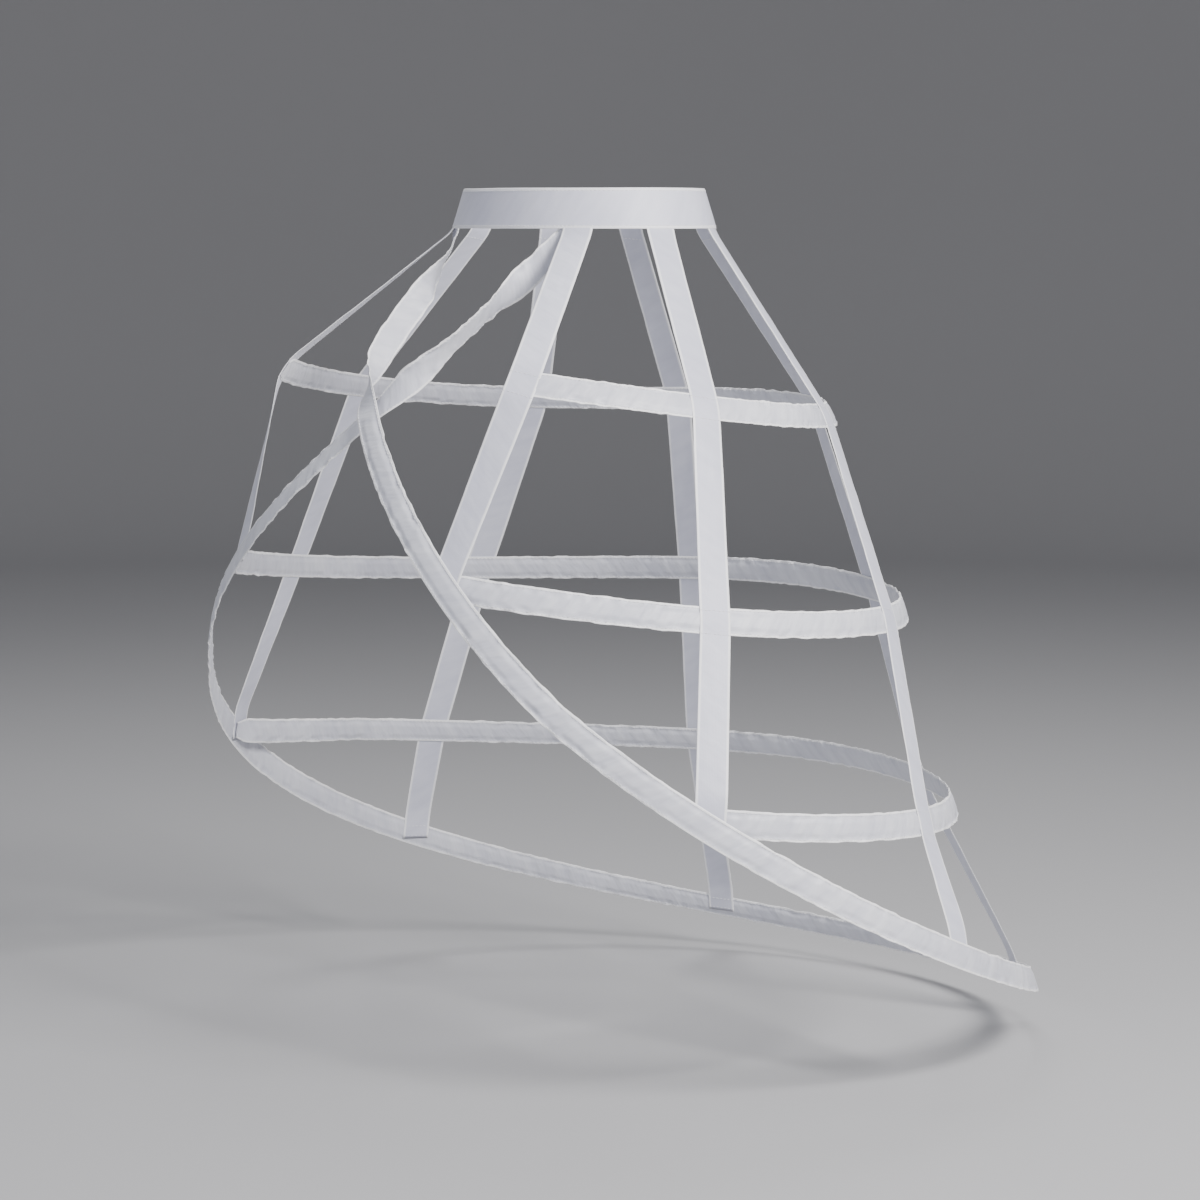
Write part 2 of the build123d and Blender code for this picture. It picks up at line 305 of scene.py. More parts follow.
@dataclass(frozen=True)
class HemLine(Line):
    """The sloping hem, from the front crossing round the train and back to the crossing."""

    front_reach: float = 217.0
    train_reach: float = 376.0
    hip_swell: float = 129.5
    front_drop: float = 147.0
    train_drop: float = 652.0
    side_dip: float = 28.0
    lean_angle: float = 22.0
    crossing_room: float = 7.0
    crossing_lean_angle: float = 42.0
    crossing_spread_angle: float = 60.0
    crossing_splay: float = 17.0
    crossing_splay_angle: float = 48.0
    first_angle: float = 0.0
    last_angle: float = FULL_TURN

    def point(self, angle: float) -> Vector:
        """Point of the hem.

        Args:
            angle: Degrees from the front.

        Returns:
            The point.
        """
        fold = math.sin(math.radians(angle / 2))
        reach = self.front_reach + (self.train_reach - self.front_reach) * fold
        reach += self.hip_swell * fold * (1 - fold**2)
        drop = self.front_drop + (self.train_drop - self.front_drop) * fold
        drop += self.side_dip * math.sin(math.radians(angle)) ** 2
        return polar(angle, reach, -WAIST.height / 2 - drop) + self.crossing_shift(angle)

    def crossing_shift(self, angle: float) -> Vector:
        """How the starting end passes in front of the other, and both splay out beside the crossing.

        Args:
            angle: Degrees from the front.

        Returns:
            The shift of the line.
        """
        side = 1 if angle <= BACK else -1
        beside = max(0.0, 1 - min(angle, FULL_TURN - angle) / self.crossing_splay_angle)
        forward = side * self.crossing_room / 2 * self.crossing_share(angle)
        sideways = side * self.crossing_splay * math.sin(math.pi * beside)
        return Vector((sideways, -forward, 0.0))

    def crossing_share(self, angle: float) -> float:
        """1 at the crossing, falling to 0 beyond it."""
        return swell(1 - min(angle, FULL_TURN - angle) / self.crossing_spread_angle)

    def across(self, angle: float) -> Vector:
        """Width direction, flat onto the other end at the crossing and leaning with the cage at the train."""
        lean = self.lean_angle * math.sin(math.radians(angle / 2)) ** 2
        return leaning(self.tangent(angle), lean + self.crossing_lean_angle * self.crossing_share(angle))

    def outward(self, angle: float) -> Vector:
        """Outward normal of the hem tape."""
        return self.tangent(angle).cross(self.across(angle))

    def hoop_depth(self, angle: float) -> float:
        """Distance from the hem's middle in to the middle of a hoop end behind a strap.

        Args:
            angle: Degrees from the front.

        Returns:
            The depth in millimetres.
        """
        outward = self.outward(angle)
        reach = 2 * FIT.strap_half_width
        turn = self.turn(angle, FIT.strap_half_width)
        twist = abs((self.across(angle + turn) - self.across(angle - turn)).dot(outward))
        bow = self.curvature(angle, reach, outward) * reach**2 / 2
        return 2 * FIT.sewn_depth + bow + twist * FIT.tape_half_width


WAIST_LINE = LevelLine(radius=110.0, oval=14.0)
UPPER_LINE = LevelLine(radius=228.0, forward=30.0, oval=6.0, drop=136.0, tilt=22.0, dip=9.0)
MIDDLE_LINE = LevelLine(radius=279.0, forward=20.0, oval=24.0, drop=296.0, tilt=18.5, dip=11.0)
LOWER_LINE = LevelLine(radius=339.0, forward=45.0, oval=16.0, drop=446.0, tilt=35.0, dip=14.0)
HEM = HemLine()


@dataclass(frozen=True)
class OpenHoop(Line):
    """A hoop that stops at the open front, between the line above it and the line below it."""

    line: LevelLine
    above: Line
    below: Line
    end_angle: float
    ends_on_hem: bool
    draw_angle: float = 34.0

    @property
    def first_angle(self) -> float:
        """Angle of the end on the wearer's left."""
        return self.end_angle

    @property
    def last_angle(self) -> float:
        """Angle of the end on the wearer's right."""
        return FULL_TURN - self.end_angle

    def pull(self, angle: float) -> float:
        """Share by which the hoop is drawn to the hem: 1 at its ends, 0 where it runs free."""
        from_front = min(angle, FULL_TURN - angle)
        return swell(1 - (from_front - self.end_angle) / self.draw_angle) if self.ends_on_hem else 0.0

    def end(self, angle: float) -> float:
        """Angle of the hoop's end on the same side."""
        return self.first_angle if angle <= BACK else self.last_angle

    def point(self, angle: float) -> Vector:
        """Point of the hoop.

        Args:
            angle: Degrees from the front.

        Returns:
            The point.
        """
        free = self.line.point(angle)
        pull = self.pull(angle)
        if pull == 0.0:
            return free
        end = self.end(angle)
        seat = HEM.point(end) - HEM.outward(end) * HEM.hoop_depth(end)
        return free + (seat - self.line.point(end)) * pull

    def outward(self, angle: float) -> Vector:
        """Outward normal of the tape, which leans with the cage.

        Args:
            angle: Degrees from the front.

        Returns:
            The unit normal.
        """
        along = self.tangent(angle)
        pull = self.pull(angle)
        across = square_to(self.above.point(angle) - self.below.point(angle), along)
        flat = HEM.outward(self.end(angle)).cross(along).normalized()
        return along.cross(square_to(across * (1 - pull) + flat * pull, along))


@dataclass(frozen=True)
class StrapAngles:
    """Places of a strap in degrees from the front.

    Attributes:
        waist: Where it leaves the waistband.
        hoops: Where it crosses each hoop, from the top.
        hem: Where it ends on the hem.
    """

    waist: float
    hoops: tuple[float, ...]
    hem: float


STRAP_SETS = {
    "front_strap": StrapAngles(waist=49.5, hoops=(41.0,), hem=27.5),
    "side_front_strap": StrapAngles(waist=82.5, hoops=(75.0, 71.2), hem=67.5),
    "side_back_strap": StrapAngles(waist=116.0, hoops=(116.5, 109.0, 104.0), hem=103.5),
    "back_strap": StrapAngles(waist=152.0, hoops=(153.0, 151.0, 149.5), hem=148.5),
}
FRONT_AT_UPPER = STRAP_SETS["front_strap"].hoops[0]
HOOP_END_INSET = 2.0
UPPER_END = FRONT_AT_UPPER - UPPER_LINE.turn(FRONT_AT_UPPER, FIT.strap_half_width - HOOP_END_INSET)
MIDDLE_END = 27.5
LOWER_END = 66.0
HOOPS = {
    "upper_hoop": OpenHoop(UPPER_LINE, WAIST_LINE, MIDDLE_LINE, UPPER_END, ends_on_hem=False),
    "middle_hoop": OpenHoop(MIDDLE_LINE, UPPER_LINE, LOWER_LINE, MIDDLE_END, ends_on_hem=True),
    "lower_hoop": OpenHoop(LOWER_LINE, MIDDLE_LINE, HEM, LOWER_END, ends_on_hem=True),
}


def band_normal(angle: float) -> Vector:
    """Outward normal of the waistband at an angle."""
    level = WAIST_LINE.tangent(angle).cross(UP)
    return (level * WAIST.height + UP * WAIST.taper).normalized()


def band_down(angle: float) -> Vector:
    """Direction down the face of the waistband at an angle."""
    level = WAIST_LINE.tangent(angle).cross(UP)
    return (level * WAIST.taper - UP * WAIST.height).normalized()


# Ribbons as rows of stations


@dataclass
class Station:
    """One cross section of a ribbon, in millimetres.

    Attributes:
        place: Middle of the ribbon.
        outward: Normal of the ribbon's outer face.
        cup: Curvature of the ribbon across its width.
        steel: 1 where a steel lifts the ribbon, 0 where it lies flat.
        width: Share of the ribbon's full width.
    """

    place: Vector
    outward: Vector
    cup: float = 0.0
    steel: float = 1.0
    width: float = 1.0


@dataclass
class RibbonPath:
    """A row of stations, with the distances along it where it is sewn down.

    Attributes:
        stations: Cross sections from one end to the other.
        half_width: Half the ribbon's width.
        held_at: Distances along the ribbon where it is sewn down.
        free_reach: Distance from a seam at which the cloth is loose again.
    """

    stations: list[Station]
    half_width: float
    held_at: list[float] = field(default_factory=list)
    free_reach: float = 34.0

    def distances(self) -> list[float]:
        """Distance of each station from the start, along the ribbon.

        Returns:
            The distances in millimetres.
        """
        total = [0.0]
        for before, after in zip(self.stations, self.stations[1:]):
            total.append(total[-1] + (after.place - before.place).length)
        return total

    def flat_size(self) -> tuple[float, float]:
        """Width and length of the flat ribbon, in metres."""
        return 2 * self.half_width * MILLIMETRE, self.distances()[-1] * MILLIMETRE

    def axes(self, index: int) -> tuple[Vector, Vector]:
        """Width direction and outward normal at a station.

        Args:
            index: Number of the station.

        Returns:
            Two unit vectors, square to each other and to the ribbon's direction.
        """
        ahead = self.stations[min(index + 1, len(self.stations) - 1)].place
        behind = self.stations[max(index - 1, 0)].place
        along = (ahead - behind).normalized()
        outward = square_to(self.stations[index].outward, along)
        return along.cross(outward), outward

    def looseness(self, distance: float, length: float) -> float:
        """How loose the cloth is at a distance: 0 where it is sewn down, 1 well away from seams."""
        nearest = min([distance, length - distance] + [abs(distance - held) for held in self.held_at])
        return smooth((nearest - self.half_width) / self.free_reach)

    def softened(self, passes: int) -> "RibbonPath":
        """The same path with its kinks rounded.

        Args:
            passes: How often each inner station moves half way to the middle of its neighbours.

        Returns:
            A new path.
        """
        places = [station.place for station in self.stations]
        outwards = [station.outward for station in self.stations]
        for _ in range(passes):
            places = soften_row(places)
            outwards = soften_row(outwards)
        rounded = [
            replace(station, place=place, outward=outward.normalized())
            for place, outward, station in zip(places, outwards, self.stations)
        ]
        return RibbonPath(rounded, self.half_width, list(self.held_at), self.free_reach)

    def row(self, share: float, reach: float) -> Row:
        """Points beside the ribbon along a line of its width.

        Args:
            share: Place across the ribbon, from -1 to 1.
            reach: Distance off the middle surface; its sign picks the face.

        Returns:
            Points in millimetres, each with the direction out of that face.
        """
        points = []
        for index, station in enumerate(self.stations):
            across, outward = self.axes(index)
            facing = outward if reach > 0 else -outward
            sideways = across * (share * self.half_width * station.width)
            points.append((station.place + sideways + facing * abs(reach), facing))
        return points

    def edge_rows(self, share: float, reach: float, inset: int = 0) -> list[Row]:
        """Rows of points along both edges of the ribbon, beside each face.

        Args:
            share: Place of the rows across the ribbon, from 0 to 1.
            reach: Distance off the middle surface.
            inset: Number of stations left out at each end.

        Returns:
            Four rows of points.
        """
        places = [(across, off) for across in (-share, share) for off in (reach, -reach)]
        return [self.row(across, off)[inset : len(self.stations) - inset] for across, off in places]


def soften_row(values: list[Vector]) -> list[Vector]:
    """Moves each inner value half way to the middle of its neighbours.

    Args:
        values: Places or directions in order.

    Returns:
        The new values.
    """
    inner = [
        now * 0.5 + (before + after) * 0.25
        for before, now, after in zip(values, values[1:], values[2:])
    ]
    return [values[0]] + inner + [values[-1]]


# Nodes


class NodeWriter:
    """Adds nodes to a tree and links them in one call."""

    def __init__(self, tree: bpy.types.NodeTree) -> None:
        """Starts on a tree."""
        self.tree = tree

    def set(self, socket: Socket, value: Value) -> None:
        """Links a socket to another, or gives it a value.

        Args:
            socket: The socket to set.
            value: Another socket or a plain value.
        """
        if isinstance(value, bpy.types.NodeSocket):
            self.tree.links.new(value, socket)
        else:
            socket.default_value = value

    def node(self, kind: str, inputs: Inputs, **options: object) -> bpy.types.Node:
        """Adds a node.

        Args:
            kind: The node's type.
            inputs: Values or sockets for its inputs, by name or number.
            options: Settings of the node itself.

        Returns:
            The node.
        """
        node = self.tree.nodes.new(kind)
        for option, setting in options.items():
            setattr(node, option, setting)
        for place, value in inputs.items():
            self.set(node.inputs[place], value)
        return node

    def result(self, kind: str, inputs: Inputs, output: Union[str, int] = 0, **options: object) -> Socket:
        """Adds a node and picks one of its outputs, by name or number."""
        return self.node(kind, inputs, **options).outputs[output]

    def math(self, operation: str, *values: Value) -> Socket:
        """Result of a number operation."""
        return self.result("ShaderNodeMath", dict(enumerate(values)), operation=operation)

    def stepped(self, value: Value, low: Value, high: Value) -> Socket:
        """Smooth step of a value from low to high."""
        inputs = {"Value": value, "From Min": low, "From Max": high}
        return self.result("ShaderNodeMapRange", inputs, interpolation_type="SMOOTHSTEP")

    def noise(self, place: Socket, scale: float, detail: float) -> Socket:
        """Noise from 0 to 1 at a place."""
        return self.result("ShaderNodeTexNoise", {"Vector": place, "Scale": scale, "Detail": detail})


class TreeBuilder(NodeWriter):
    """Builds one Geometry Nodes tree with named inputs."""

    def __init__(self, name: str) -> None:
        """Starts a tree with a geometry input and a geometry output.

        Args:
            name: Name of the tree.
        """
        super().__init__(bpy.data.node_groups.new(name, "GeometryNodeTree"))
        self.entry = self.tree.nodes.new("NodeGroupInput")
        self.exit = self.tree.nodes.new("NodeGroupOutput")
        self.geometry = self.size("Geometry", "NodeSocketGeometry")
        self.tree.interface.new_socket("Geometry", in_out="OUTPUT", socket_type="NodeSocketGeometry")

    def size(self, name: str, kind: str = "NodeSocketFloat") -> Socket:
        """Adds a named input and returns the socket that carries it inside the tree."""
        self.tree.interface.new_socket(name, in_out="INPUT", socket_type=kind)
        return self.entry.outputs[name]

    def times(self, first: Value, *others: Value) -> Value:
        """Product of numbers.

        Args:
            first: The first number.
            others: The numbers that it is multiplied by.

        Returns:
            The product.
        """
        product = first
        for other in others:
            product = self.math("MULTIPLY", product, other)
        return product

    def vector(self, operation: str, *values: Value) -> Socket:
        """Result of a vector operation."""
        return self.result("ShaderNodeVectorMath", dict(enumerate(values)), operation=operation)

    def scaled(self, direction: Value, factor: Value) -> Socket:
        """A direction times a number."""
        inputs = {"Vector": direction, "Scale": factor}
        return self.result("ShaderNodeVectorMath", inputs, operation="SCALE")

    def combined(self, x: Value, y: Value, z: Value) -> Socket:
        """A vector from three numbers."""
        return self.result("ShaderNodeCombineXYZ", {0: x, 1: y, 2: z})

    def named(self, name: str, kind: str) -> Socket:
        """Value of a named attribute."""
        return self.result("GeometryNodeInputNamedAttribute", {"Name": name}, data_type=kind)

    def ripple(self, place: Socket, detail: float) -> Socket:
        """Noise from about -1 to 1 at a place."""
        return self.math("MULTIPLY_ADD", self.noise(place, 1.0, detail), 2.0, -1.0)

    def stored(self, geometry: Socket, name: str, value: Socket, kind: str, domain: str) -> Socket:
        """Stores a value on the points or the corners of a geometry, as a named attribute."""
        inputs = {"Geometry": geometry, "Name": name, "Value": value}
        return self.result("GeometryNodeStoreNamedAttribute", inputs, data_type=kind, domain=domain)

    def finish(self, geometry: Socket, material: Socket) -> bpy.types.NodeTree:
        """Realizes, dresses and ends the tree.

        Args:
            geometry: What the tree made.
            material: The material for all of it.

        Returns:
            The finished tree.
        """
        real = self.result("GeometryNodeRealizeInstances", {"Geometry": geometry})
        dressed = self.result("GeometryNodeSetMaterial", {"Geometry": real, "Material": material})
        self.tree.links.new(dressed, self.exit.inputs[0])
        return self.tree


def run_tree(
    source: bpy.types.Object, tree: bpy.types.NodeTree, settings: dict[str, object]
) -> bpy.types.Mesh:
    """Runs a tree on an object and returns the result as a plain mesh.

    Args:
        source: The object that the tree starts from, which is removed afterwards.
        tree: The tree.
        settings: Values of the tree's inputs by name.

    Returns:
        The new mesh.
    """
    modifier = source.modifiers.new("shape", "NODES")
    modifier.node_group = tree
    for item in tree.interface.items_tree:
        if item.in_out == "INPUT" and item.name in settings:
            modifier[item.identifier] = settings[item.name]
    bpy.context.view_layer.update()
    graph = bpy.context.evaluated_depsgraph_get()
    made = source.evaluated_get(graph)
    mesh = bpy.data.meshes.new_from_object(made, preserve_all_data_layers=True, depsgraph=graph)
    source.modifiers.remove(modifier)
    line = source.data
    bpy.data.objects.remove(source)
    bpy.data.meshes.remove(line)
    return mesh


def new_piece(name: str, mesh: bpy.types.Mesh) -> bpy.types.Object:
    """Links a mesh to the scene as a piece at the origin.

    Args:
        name: Name of the piece.
        mesh: Its mesh.

    Returns:
        The object.
    """
    mesh.name = name
    piece = bpy.data.objects.new(name, mesh)
    bpy.context.scene.collection.objects.link(piece)
    return piece


def point_row(name: str, rows: Sequence[Sequence[Vector]], fields: dict[str, list]) -> bpy.types.Object:
    """An object of bare lines with values on their points.

    Args:
        name: Name of the object.
        rows: Points of each line, in millimetres.
        fields: Values for all points in order, numbers or vectors, by attribute name.

    Returns:
        The object, linked to the scene.
    """
    points: list[Vector] = []
    edges: list[tuple[int, int]] = []
    for row in rows:
        first = len(points)
        points.extend(row)
        edges.extend((first + step, first + step + 1) for step in range(len(row) - 1))
    mesh = bpy.data.meshes.new(name)
    mesh.from_pydata([tuple(point * MILLIMETRE) for point in points], edges, [])
    for key, values in fields.items():
        if isinstance(values[0], Vector):
            layer = mesh.attributes.new(key, "FLOAT_VECTOR", "POINT")
            layer.data.foreach_set("vector", [part for value in values for part in value])
        else:
            layer = mesh.attributes.new(key, "FLOAT", "POINT")
            layer.data.foreach_set("value", values)
    return new_piece(name, mesh)


@dataclass(frozen=True)
class RibbonForm:
    """Shares and slopes that shape the section and the puckers of every ribbon.

    Attributes:
        edge_pitch_share: Length of the edges' waves, as a share of the pucker pitch.
        pucker_slant: How fast the puckers change along the ribbon as well, in steps a metre.
        pucker_skew: How fast they change across the ribbon, in steps a half width.
        pucker_seed_shift: Difference between the seeds of the edges and of the puckers.
        free_from: Where the cloth beside the steel starts to pucker, as a share of the raised middle.
        free_to: Where it puckers in full.
        ridge_foot: Foot of the raised middle, as a share of its half width.
        ridge_top: Where the raised middle is at its full height.
        rim_from: Where the selvage's bead starts, as a share of the half width.
        rim_to: Where the bead is full.
        edge_power: How squarely the edge is rounded off.
        weld_distance: Distance in metres within which the two faces join.
    """

    edge_pitch_share: float = 1.7
    pucker_slant: float = 35.0
    pucker_skew: float = 1.3
    pucker_seed_shift: float = 13.0
    free_from: float = 0.8
    free_to: float = 1.6
    ridge_foot: float = 1.7
    ridge_top: float = 0.85
    rim_from: float = 0.86
    rim_to: float = 0.95
    edge_power: float = 14.0
    weld_distance: float = 1e-6


FORM = RibbonForm()
ROW_AXES = ("across", "outward")
ROW_NUMBERS = ("half_width", "loose", "run", "ends", "cup", "steel")
STITCH_SIDES = 6
STITCH_RINGS = 4
STITCH_SCALES = (0.88, 1.08)


def ribbon_tree() -> bpy.types.NodeTree:
    """Tree that sweeps a closed ribbon along a row of stations.

    Returns:
        The tree. Its lengths are in metres.
    """
    build = TreeBuilder("ribbon_sweep")
    columns = build.size("Columns", "NodeSocketInt")
    flat = build.size("Flat Half")
    lift = build.size("Lift")
    lift_share = build.size("Lift Share")
    bead = build.size("Selvage Bead")
    pucker = build.size("Pucker Height")
    pucker_pitch = build.size("Pucker Pitch")
    wave = build.size("Edge Wave")
    seed = build.size("Seed")
    material = build.size("Material", "NodeSocketMaterial")

    count = build.result("GeometryNodeAttributeDomainSize", {0: build.geometry}, "Point Count")
    grid = build.result("GeometryNodeMeshGrid", {"Vertices X": columns, "Vertices Y": count}, "Mesh")
    index = build.result("GeometryNodeInputIndex", {})
    station = build.math("MODULO", index, count)
    column = build.math("FLOOR", build.math("DIVIDE", index, count))
    spread = build.math("DIVIDE", column, build.math("SUBTRACT", columns, 1.0))
    turn = build.times(build.math("MULTIPLY_ADD", spread, 2.0, -1.0), math.pi / 2)
    share = build.math("SINE", turn)
    side = build.math("ABSOLUTE", share)

    def sampled(value: Socket, kind: str) -> Socket:
        """Value of the row at this vertex's station."""
        inputs = {0: build.geometry, 1: value, 2: station}
        return build.result("GeometryNodeSampleIndex", inputs, data_type=kind, domain="POINT")

    place = sampled(build.result("GeometryNodeInputPosition", {}), "FLOAT_VECTOR")
    across, outward = (sampled(build.named(name, "FLOAT_VECTOR"), "FLOAT_VECTOR") for name in ROW_AXES)
    half_width, loose, run, ends, cup, steel = (
        sampled(build.named(name, "FLOAT"), "FLOAT") for name in ROW_NUMBERS
    )

    edge_run = build.math("DIVIDE", run, build.times(pucker_pitch, FORM.edge_pitch_share))
    edge_place = build.combined(build.math("SIGN", share), edge_run, seed)
    edge_shift = build.times(build.ripple(edge_place, 1.0), wave, loose)
    reach = build.times(share, build.math("ADD", half_width, edge_shift))
    sheer = build.math("MULTIPLY_ADD", run, FORM.pucker_slant, build.times(share, FORM.pucker_skew))
    pucker_run = build.math("DIVIDE", run, pucker_pitch)
    pucker_place = build.combined(sheer, pucker_run, build.math("ADD", seed, FORM.pucker_seed_shift))
    free_from = build.times(lift_share, FORM.free_from)
    free_to = build.times(lift_share, FORM.free_to)
    off_steel = build.stepped(side, free_from, free_to)
    raised = build.times(build.ripple(pucker_place, 2.0), pucker, loose)
    sag = build.times(build.times(cup, -0.5), build.times(reach, reach))
    middle = build.math("MULTIPLY_ADD", raised, off_steel, sag)

    edge = build.math("SQRT", build.math("SUBTRACT", 1.0, build.math("POWER", side, FORM.edge_power)))
    ridge_foot = build.times(lift_share, FORM.ridge_foot)
    ridge_top = build.times(lift_share, FORM.ridge_top)
    ridge = build.times(build.stepped(side, ridge_foot, ridge_top), steel)
    rim = build.stepped(side, FORM.rim_from, FORM.rim_to)
    thick = build.math("MULTIPLY_ADD", lift, ridge, build.math("MULTIPLY_ADD", bead, rim, flat))
    thick = build.times(thick, build.times(edge, ends))
    sideways = build.vector("ADD", place, build.scaled(across, reach))
    pattern = build.combined(build.times(share, half_width), run, 0.0)
    laid = build.named("pattern", "FLOAT_VECTOR")

    both = build.node("GeometryNodeJoinGeometry", {})
    for operation, flipped in (("ADD", False), ("SUBTRACT", True)):
        height = build.math(operation, middle, thick)
        surface = build.vector("ADD", sideways, build.scaled(outward, height))
        layer = build.result("GeometryNodeSetPosition", {"Geometry": grid, "Position": surface})
        # The across share is kept as the mask of the painted highlight along the selvage.
        layer = build.stored(layer, "selvage_highlight", side, "FLOAT", "POINT")
        layer = build.stored(layer, "pattern", pattern, "FLOAT_VECTOR", "POINT")
        layer = build.stored(layer, "UVMap", laid, "FLOAT2", "CORNER")
        layer = build.result("GeometryNodeRemoveAttribute", {0: layer, "Name": "pattern"})
        if flipped:
            layer = build.result("GeometryNodeFlipFaces", {0: layer})
        build.tree.links.new(layer, both.inputs[0])
    inputs = {"Geometry": both.outputs[0], "Distance": FORM.weld_distance}
    closed = build.result("GeometryNodeMergeByDistance", inputs)
    return build.finish(build.result("GeometryNodeSetShadeSmooth", {0: closed}), material)


def stitch_tree() -> bpy.types.NodeTree:
    """Tree that sets stitches along lines that lie on the cloth.

    Returns:
        The tree. Its lengths are in metres.
    """
    build = TreeBuilder("stitch_rows")
    pitch = build.size("Pitch")
    length = build.size("Stitch Length")
    radius = build.size("Thread Radius")
    seed = build.size("Seed", "NodeSocketInt")
    material = build.size("Material", "NodeSocketMaterial")

    curve = build.result("GeometryNodeMeshToCurve", {0: build.geometry})
    spaced = build.result("GeometryNodeResampleCurve", {"Curve": curve, "Length": pitch}, mode="LENGTH")
    inputs = {"Segments": STITCH_SIDES, "Rings": STITCH_RINGS, "Radius": 1.0}
    grain = build.result("GeometryNodeMeshUVSphere", inputs)
    scale = build.combined(build.times(length, 0.5), radius, radius)
    grain = build.result("GeometryNodeTransform", {"Geometry": grain, "Scale": scale})
    grain = build.result("GeometryNodeSetShadeSmooth", {0: grain})
    tangent = build.result("GeometryNodeInputTangent", {})
    aimed = build.result("FunctionNodeAlignRotationToVector", {"Vector": tangent}, axis="X")
    inputs = {"Rotation": aimed, "Vector": build.named("facing", "FLOAT_VECTOR")}
    turned = build.result("FunctionNodeAlignRotationToVector", inputs, axis="Z", pivot_axis="X")
    low, high = STITCH_SCALES
    uneven = build.result("FunctionNodeRandomValue", {2: low, 3: high, "Seed": seed}, 1, data_type="FLOAT")
    inputs = {"Points": spaced, "Instance": grain, "Rotation": turned, "Scale": uneven}
    return build.finish(build.result("GeometryNodeInstanceOnPoints", inputs), material)


# Finishes


class MaterialBuilder(NodeWriter):
    """Builds one material around a Principled shader."""

    def __init__(self, name: str) -> None:
        """Starts a material.

        Args:
            name: Name of the material.
        """
        self.material = bpy.data.materials.new(name)
        self.material.use_nodes = True
        super().__init__(self.material.node_tree)
        self.shader = self.tree.nodes["Principled BSDF"]

    def shade(self, **sockets: Value) -> None:
        """Sets sockets of the shader, named with underscores for spaces."""
        for name, value in sockets.items():
            self.set(self.shader.inputs[name.replace("_", " ")], value)

    def place(self) -> Socket:
        """Place on the piece, in the frame's metres."""
        return self.result("ShaderNodeTexCoord", {}, "Object")

    def mapped(self, place: Socket, **options: Value) -> Socket:
        """A place turned or scaled by a Mapping node."""
        return self.result("ShaderNodeMapping", {"Vector": place, **options})

    def blend(self, share: Value, low: Union[Colour, Socket], high: Colour) -> Socket:
        """Colour from low to high as the share goes from 0 to 1.

        Args:
            share: The share.
            low: First colour.
            high: Second colour.

        Returns:
            The colour between them.
        """
        node = self.node("ShaderNodeMix", {}, data_type="RGBA")
        wanted = {"Factor_Float": share, "A_Color": low, "B_Color": high}
        for socket in node.inputs:
            if socket.identifier in wanted:
                value = wanted[socket.identifier]
                self.set(socket, (*value, 1.0) if isinstance(value, tuple) else value)
        return next(socket for socket in node.outputs if socket.identifier == "Result_Color")

    def ranged(self, value: Socket, low: float, high: float) -> Socket:
        """A value from 0 to 1 spread from low to high."""
        return self.result("ShaderNodeMapRange", {"Value": value, "To Min": low, "To Max": high})

    def bump(
        self, height: Socket, strength: float, distance: float, under: Optional[Socket] = None
    ) -> Socket:
        """Normal of a surface with fine relief.

        Args:
            height: The relief.
            strength: How strongly it shows.
            distance: Its height in metres.
            under: Normal of a coarser relief that it lies on, if any.

        Returns:
            The normal.
        """
        inputs = {"Height": height, "Strength": strength, "Distance": distance}
        if under is not None:
            inputs["Normal"] = under
        return self.result("ShaderNodeBump", inputs)


